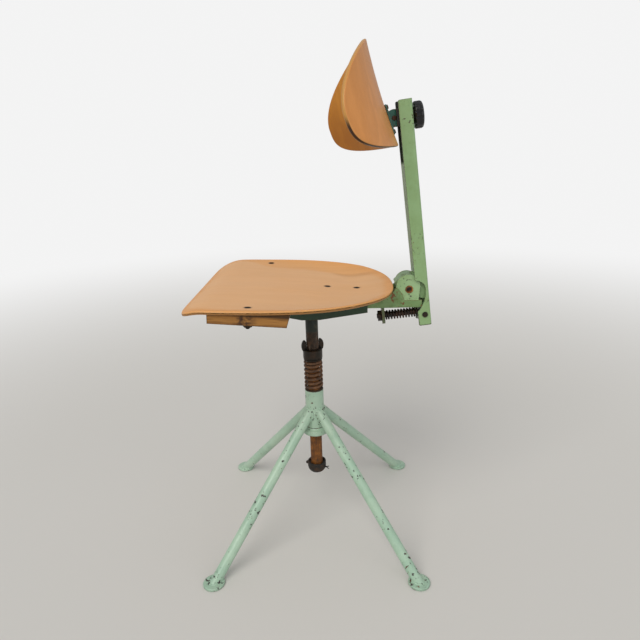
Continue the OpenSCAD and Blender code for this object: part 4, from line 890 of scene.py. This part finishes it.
# nearly black along the clamp's way
overlay(arm_paint, clamp_way_dark, (0.022, 0.026, 0.020))
overlay(arm_paint, corner_rust, (0.045, 0.026, 0.016))
finish_nodes(arm_paint, "back_arm")
# painted shade: the knuckle's green is a darker copy of the arm's
shaded_knuckle_paint = worn_paint("shaded_knuckle_paint", (0.185, 0.305, 0.125), (0.22, 0.355, 0.155), chips=0.35,
                           rubbed=0.45, chip_scale=170.0, grime=(0.5, 0.5, 0.28), grime_share=0.6)
finish_nodes(shaded_knuckle_paint, "arm_knuckle")
finish_nodes(oiled, "spring_pin")


# Spring rod: it hangs on the cross pin and passes through the bracket's lug, with a washer and a small
# coil spring between them and a nut in front. All of it is nearly black.
rod_steel = rusty("rod_steel", (0.014, 0.011, 0.009), (0.055, 0.024, 0.012), 0.42, rough=0.55, pits=0.0003)
finish_nodes(rod_steel, "spring_rod", "rod_washer", "stop_washer", "stop_nut")
pin_place = np.array(joints["rod_pivot"]["pos_m"]) / MM
pin_to_lug = pivot + [-44, 0, -52] - pin_place
rod_way = pin_to_lug / np.linalg.norm(pin_to_lug)
coil_start, coil_end, coil_taken_up = 13.1, float(np.linalg.norm(pin_to_lug)) - 2.6, 12.9
coil_bore, coil_wire, coil_turns = 5.75, 3.0, 11
rod_side = np.array([0.0, 1.0, 0.0])
rod_frame = np.stack([np.cross(rod_side, rod_way), rod_side, rod_way])
coil_foot = pin_place + rod_way * coil_start
coil_rust = rusty("coil_rust", (0.012, 0.009, 0.008), (0.075, 0.030, 0.014), 0.42, rough=0.6, pits=0.0003)
back_coil_points = coil_points(coil_bore, coil_wire, coil_turns, coil_end - coil_start) @ rod_frame
back_coil = put("back_coil", tube_mesh("back_coil", back_coil_points + coil_foot), coil_rust)
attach(back_coil, "rod")
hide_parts("back_spring")
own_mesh(back_coil)


# Clamp: a black block slides inside the arm and a knob of black moulded resin on the rear pulls it
# against the web.
def knob_finish():
    """Black resin, glossy, a little duller in faint clouds, with slightly rounded edges."""
    material, tree, shader, where = new_material("knob_black", 0.16)
    cloud = smooth_step(tree, noise(tree, where, 90.0, 5.0), 0.45, 0.7)
    tone = blend_colour(tree, cloud, (0.004, 0.004, 0.005), (0.012, 0.011, 0.010))
    tree.links.new(tone, shader["Base Color"])
    tree.links.new(calc(tree, "ADD", 0.10, times(tree, cloud, 0.16)), shader["Roughness"])
    rub = place_group(tree, edge_rub, {"Vector": where, "Radius": 0.0012})
    tree.links.new(bump(tree, noise(tree, where, 350.0), 0.00004, rub["Normal"]), shader["Normal"])
    return material


finish_nodes(knob_finish(), "clamp_knob")
block_black = worn_paint("block_black", (0.014, 0.015, 0.014), (0.022, 0.022, 0.020), chips=0.36,
                         rubbed=0.4, rough=0.45)
finish_nodes(block_black, "slide_block")
finish_nodes(oiled, "clamp_bolt", "clamp_washer")


# Backrest: pressed plywood curved round the sitter's back, orange-brown outside with the grain running up
# and down, ochre inside, where painted shade darkens it, most of all low down, and its lower edge nearly
# black with stain and painted shade. It hangs on a folded teal plate that turns on a rusty pin.
back_lean, back_twist, back_roll = math.radians(18.0), math.radians(4.0), math.radians(-1.9)
shell_radius, shell_thick, shell_height, shell_widest, shell_half = 223.0, 7.0, 165.0, 64.5, 192.5
upper_powers, lower_powers, shell_saddle = (1.85, 1.94), (3.4, 2.32), 3.5
head_place = np.array(joints["backrest_pitch"]["pos_m"]) / MM
head_turn = np.array(Matrix.Rotation(back_twist, 3, "Z") @ Matrix.Rotation(back_roll, 3, "X")
                     @ Matrix.Rotation(-back_lean, 3, "Y"))
pin_above_edge, pin_behind_shell = 42.2, 7.6


def shell_outline(count):
    """The shell laid flat, as height above its lower edge and distance round its curve: an upper and a
    lower superellipse meet at the widest line, each with its own two powers."""
    angle = np.linspace(0, 2 * np.pi, count, endpoint=False)
    rise, spread = np.abs(np.sin(angle)), np.abs(np.cos(angle))
    upper = np.sin(angle) >= 0
    height = np.where(upper, shell_widest + (shell_height - shell_widest) * rise ** (2 / upper_powers[0]),
                      shell_widest - shell_widest * rise ** (2 / lower_powers[0]))
    round_it = shell_half * np.where(upper, spread ** (2 / upper_powers[1]),
                                     spread ** (2 / lower_powers[1])) * np.sign(np.cos(angle))
    return height, round_it


def shell_place(height, arc, share, depth):
    """A point of the shell: the flat sheet is rolled about an upright axis ahead of it, at shell_radius
    less the depth, and less shell_saddle in the middle of its height, falling off as a square towards
    both ends; the whole is then leaned, rolled and twisted with its pin."""
    angle = arc / shell_radius
    middle = (height - shell_height / 2) / (shell_height / 2)
    radius = shell_radius - depth - shell_saddle * (1 - middle ** 2)
    local = np.stack([-pin_behind_shell - shell_radius + radius * np.cos(angle), radius * np.sin(angle),
                      height - pin_above_edge], -1)
    return local @ head_turn.T + head_place


def shell_worn(tree, where, brink):
    """The backrest's varnish is dull only in faint upright clouds."""
    cloud = noise(tree, drawn_out(tree, where, (1, 1, 0.35)), 18.0, 4.0)
    return times(tree, smooth_step(tree, cloud, 0.45, 0.8), 0.5)


back_ply = plywood("back_ply", (0.72, 0.300, 0.080), (0.52, 0.195, 0.042), (0.68, 0.36, 0.175), shell_worn,
                   ((0.66, 0.34, 0.09), (0.60, 0.30, 0.07), (0.45, 0.20, 0.045)), (0, math.radians(90), 0),
                   rough=0.36, figure_scale=11.0, figure=0.30, fibre=0.6)
# painted shade darkens the inside's lower part; the lower edge's wall goes nearly black, partly stain and
# partly painted shade
shade_above, black_above = (0.735, 0.83), (0.752, 0.770)
shell_tree = back_ply.node_tree
shell_layer = kept(shell_tree, "layer")
shell_z = axes(shell_tree, own_place(shell_tree))["Z"]
inside = smooth_step(shell_tree, shell_layer, 0.90, 0.99)
wall = between(shell_tree, shell_layer, 0.10, 0.80, 0.05)
# the inside more ochre and a little darker, partly painted shade
overlay(back_ply, inside, (0.86, 0.84, 0.30), "MULTIPLY")
# painted shade on the inside's lower part
overlay(back_ply, times(shell_tree, inside, fall(shell_tree, shell_z, *shade_above)), (0.66, 0.60, 0.50),
        "MULTIPLY")
# lower edge nearly black: stain and painted shade
overlay(back_ply, times(shell_tree, wall, fall(shell_tree, shell_z, *black_above)), (0.045, 0.016, 0.004))
shell_mesh = pressed_panel("back_panel", *shell_outline(320), (shell_widest, 0.0), shell_place, shell_thick,
                           rings=30)
back_panel = put("back_panel", shell_mesh, back_ply)
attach(back_panel, "back")
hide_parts("back_shell")
teal_paint = worn_paint("teal_paint", (0.015, 0.095, 0.065), (0.03, 0.14, 0.10), chips=0.36, rubbed=0.42,
                        rough=0.34, rust=0.6)
finish_nodes(teal_paint, "back_plate")
head_rust = rusty("head_rust", (0.02, 0.012, 0.009), (0.10, 0.034, 0.014), 0.5)
finish_nodes(head_rust, "head_pin")
finish_nodes(oiled, "back_screws")
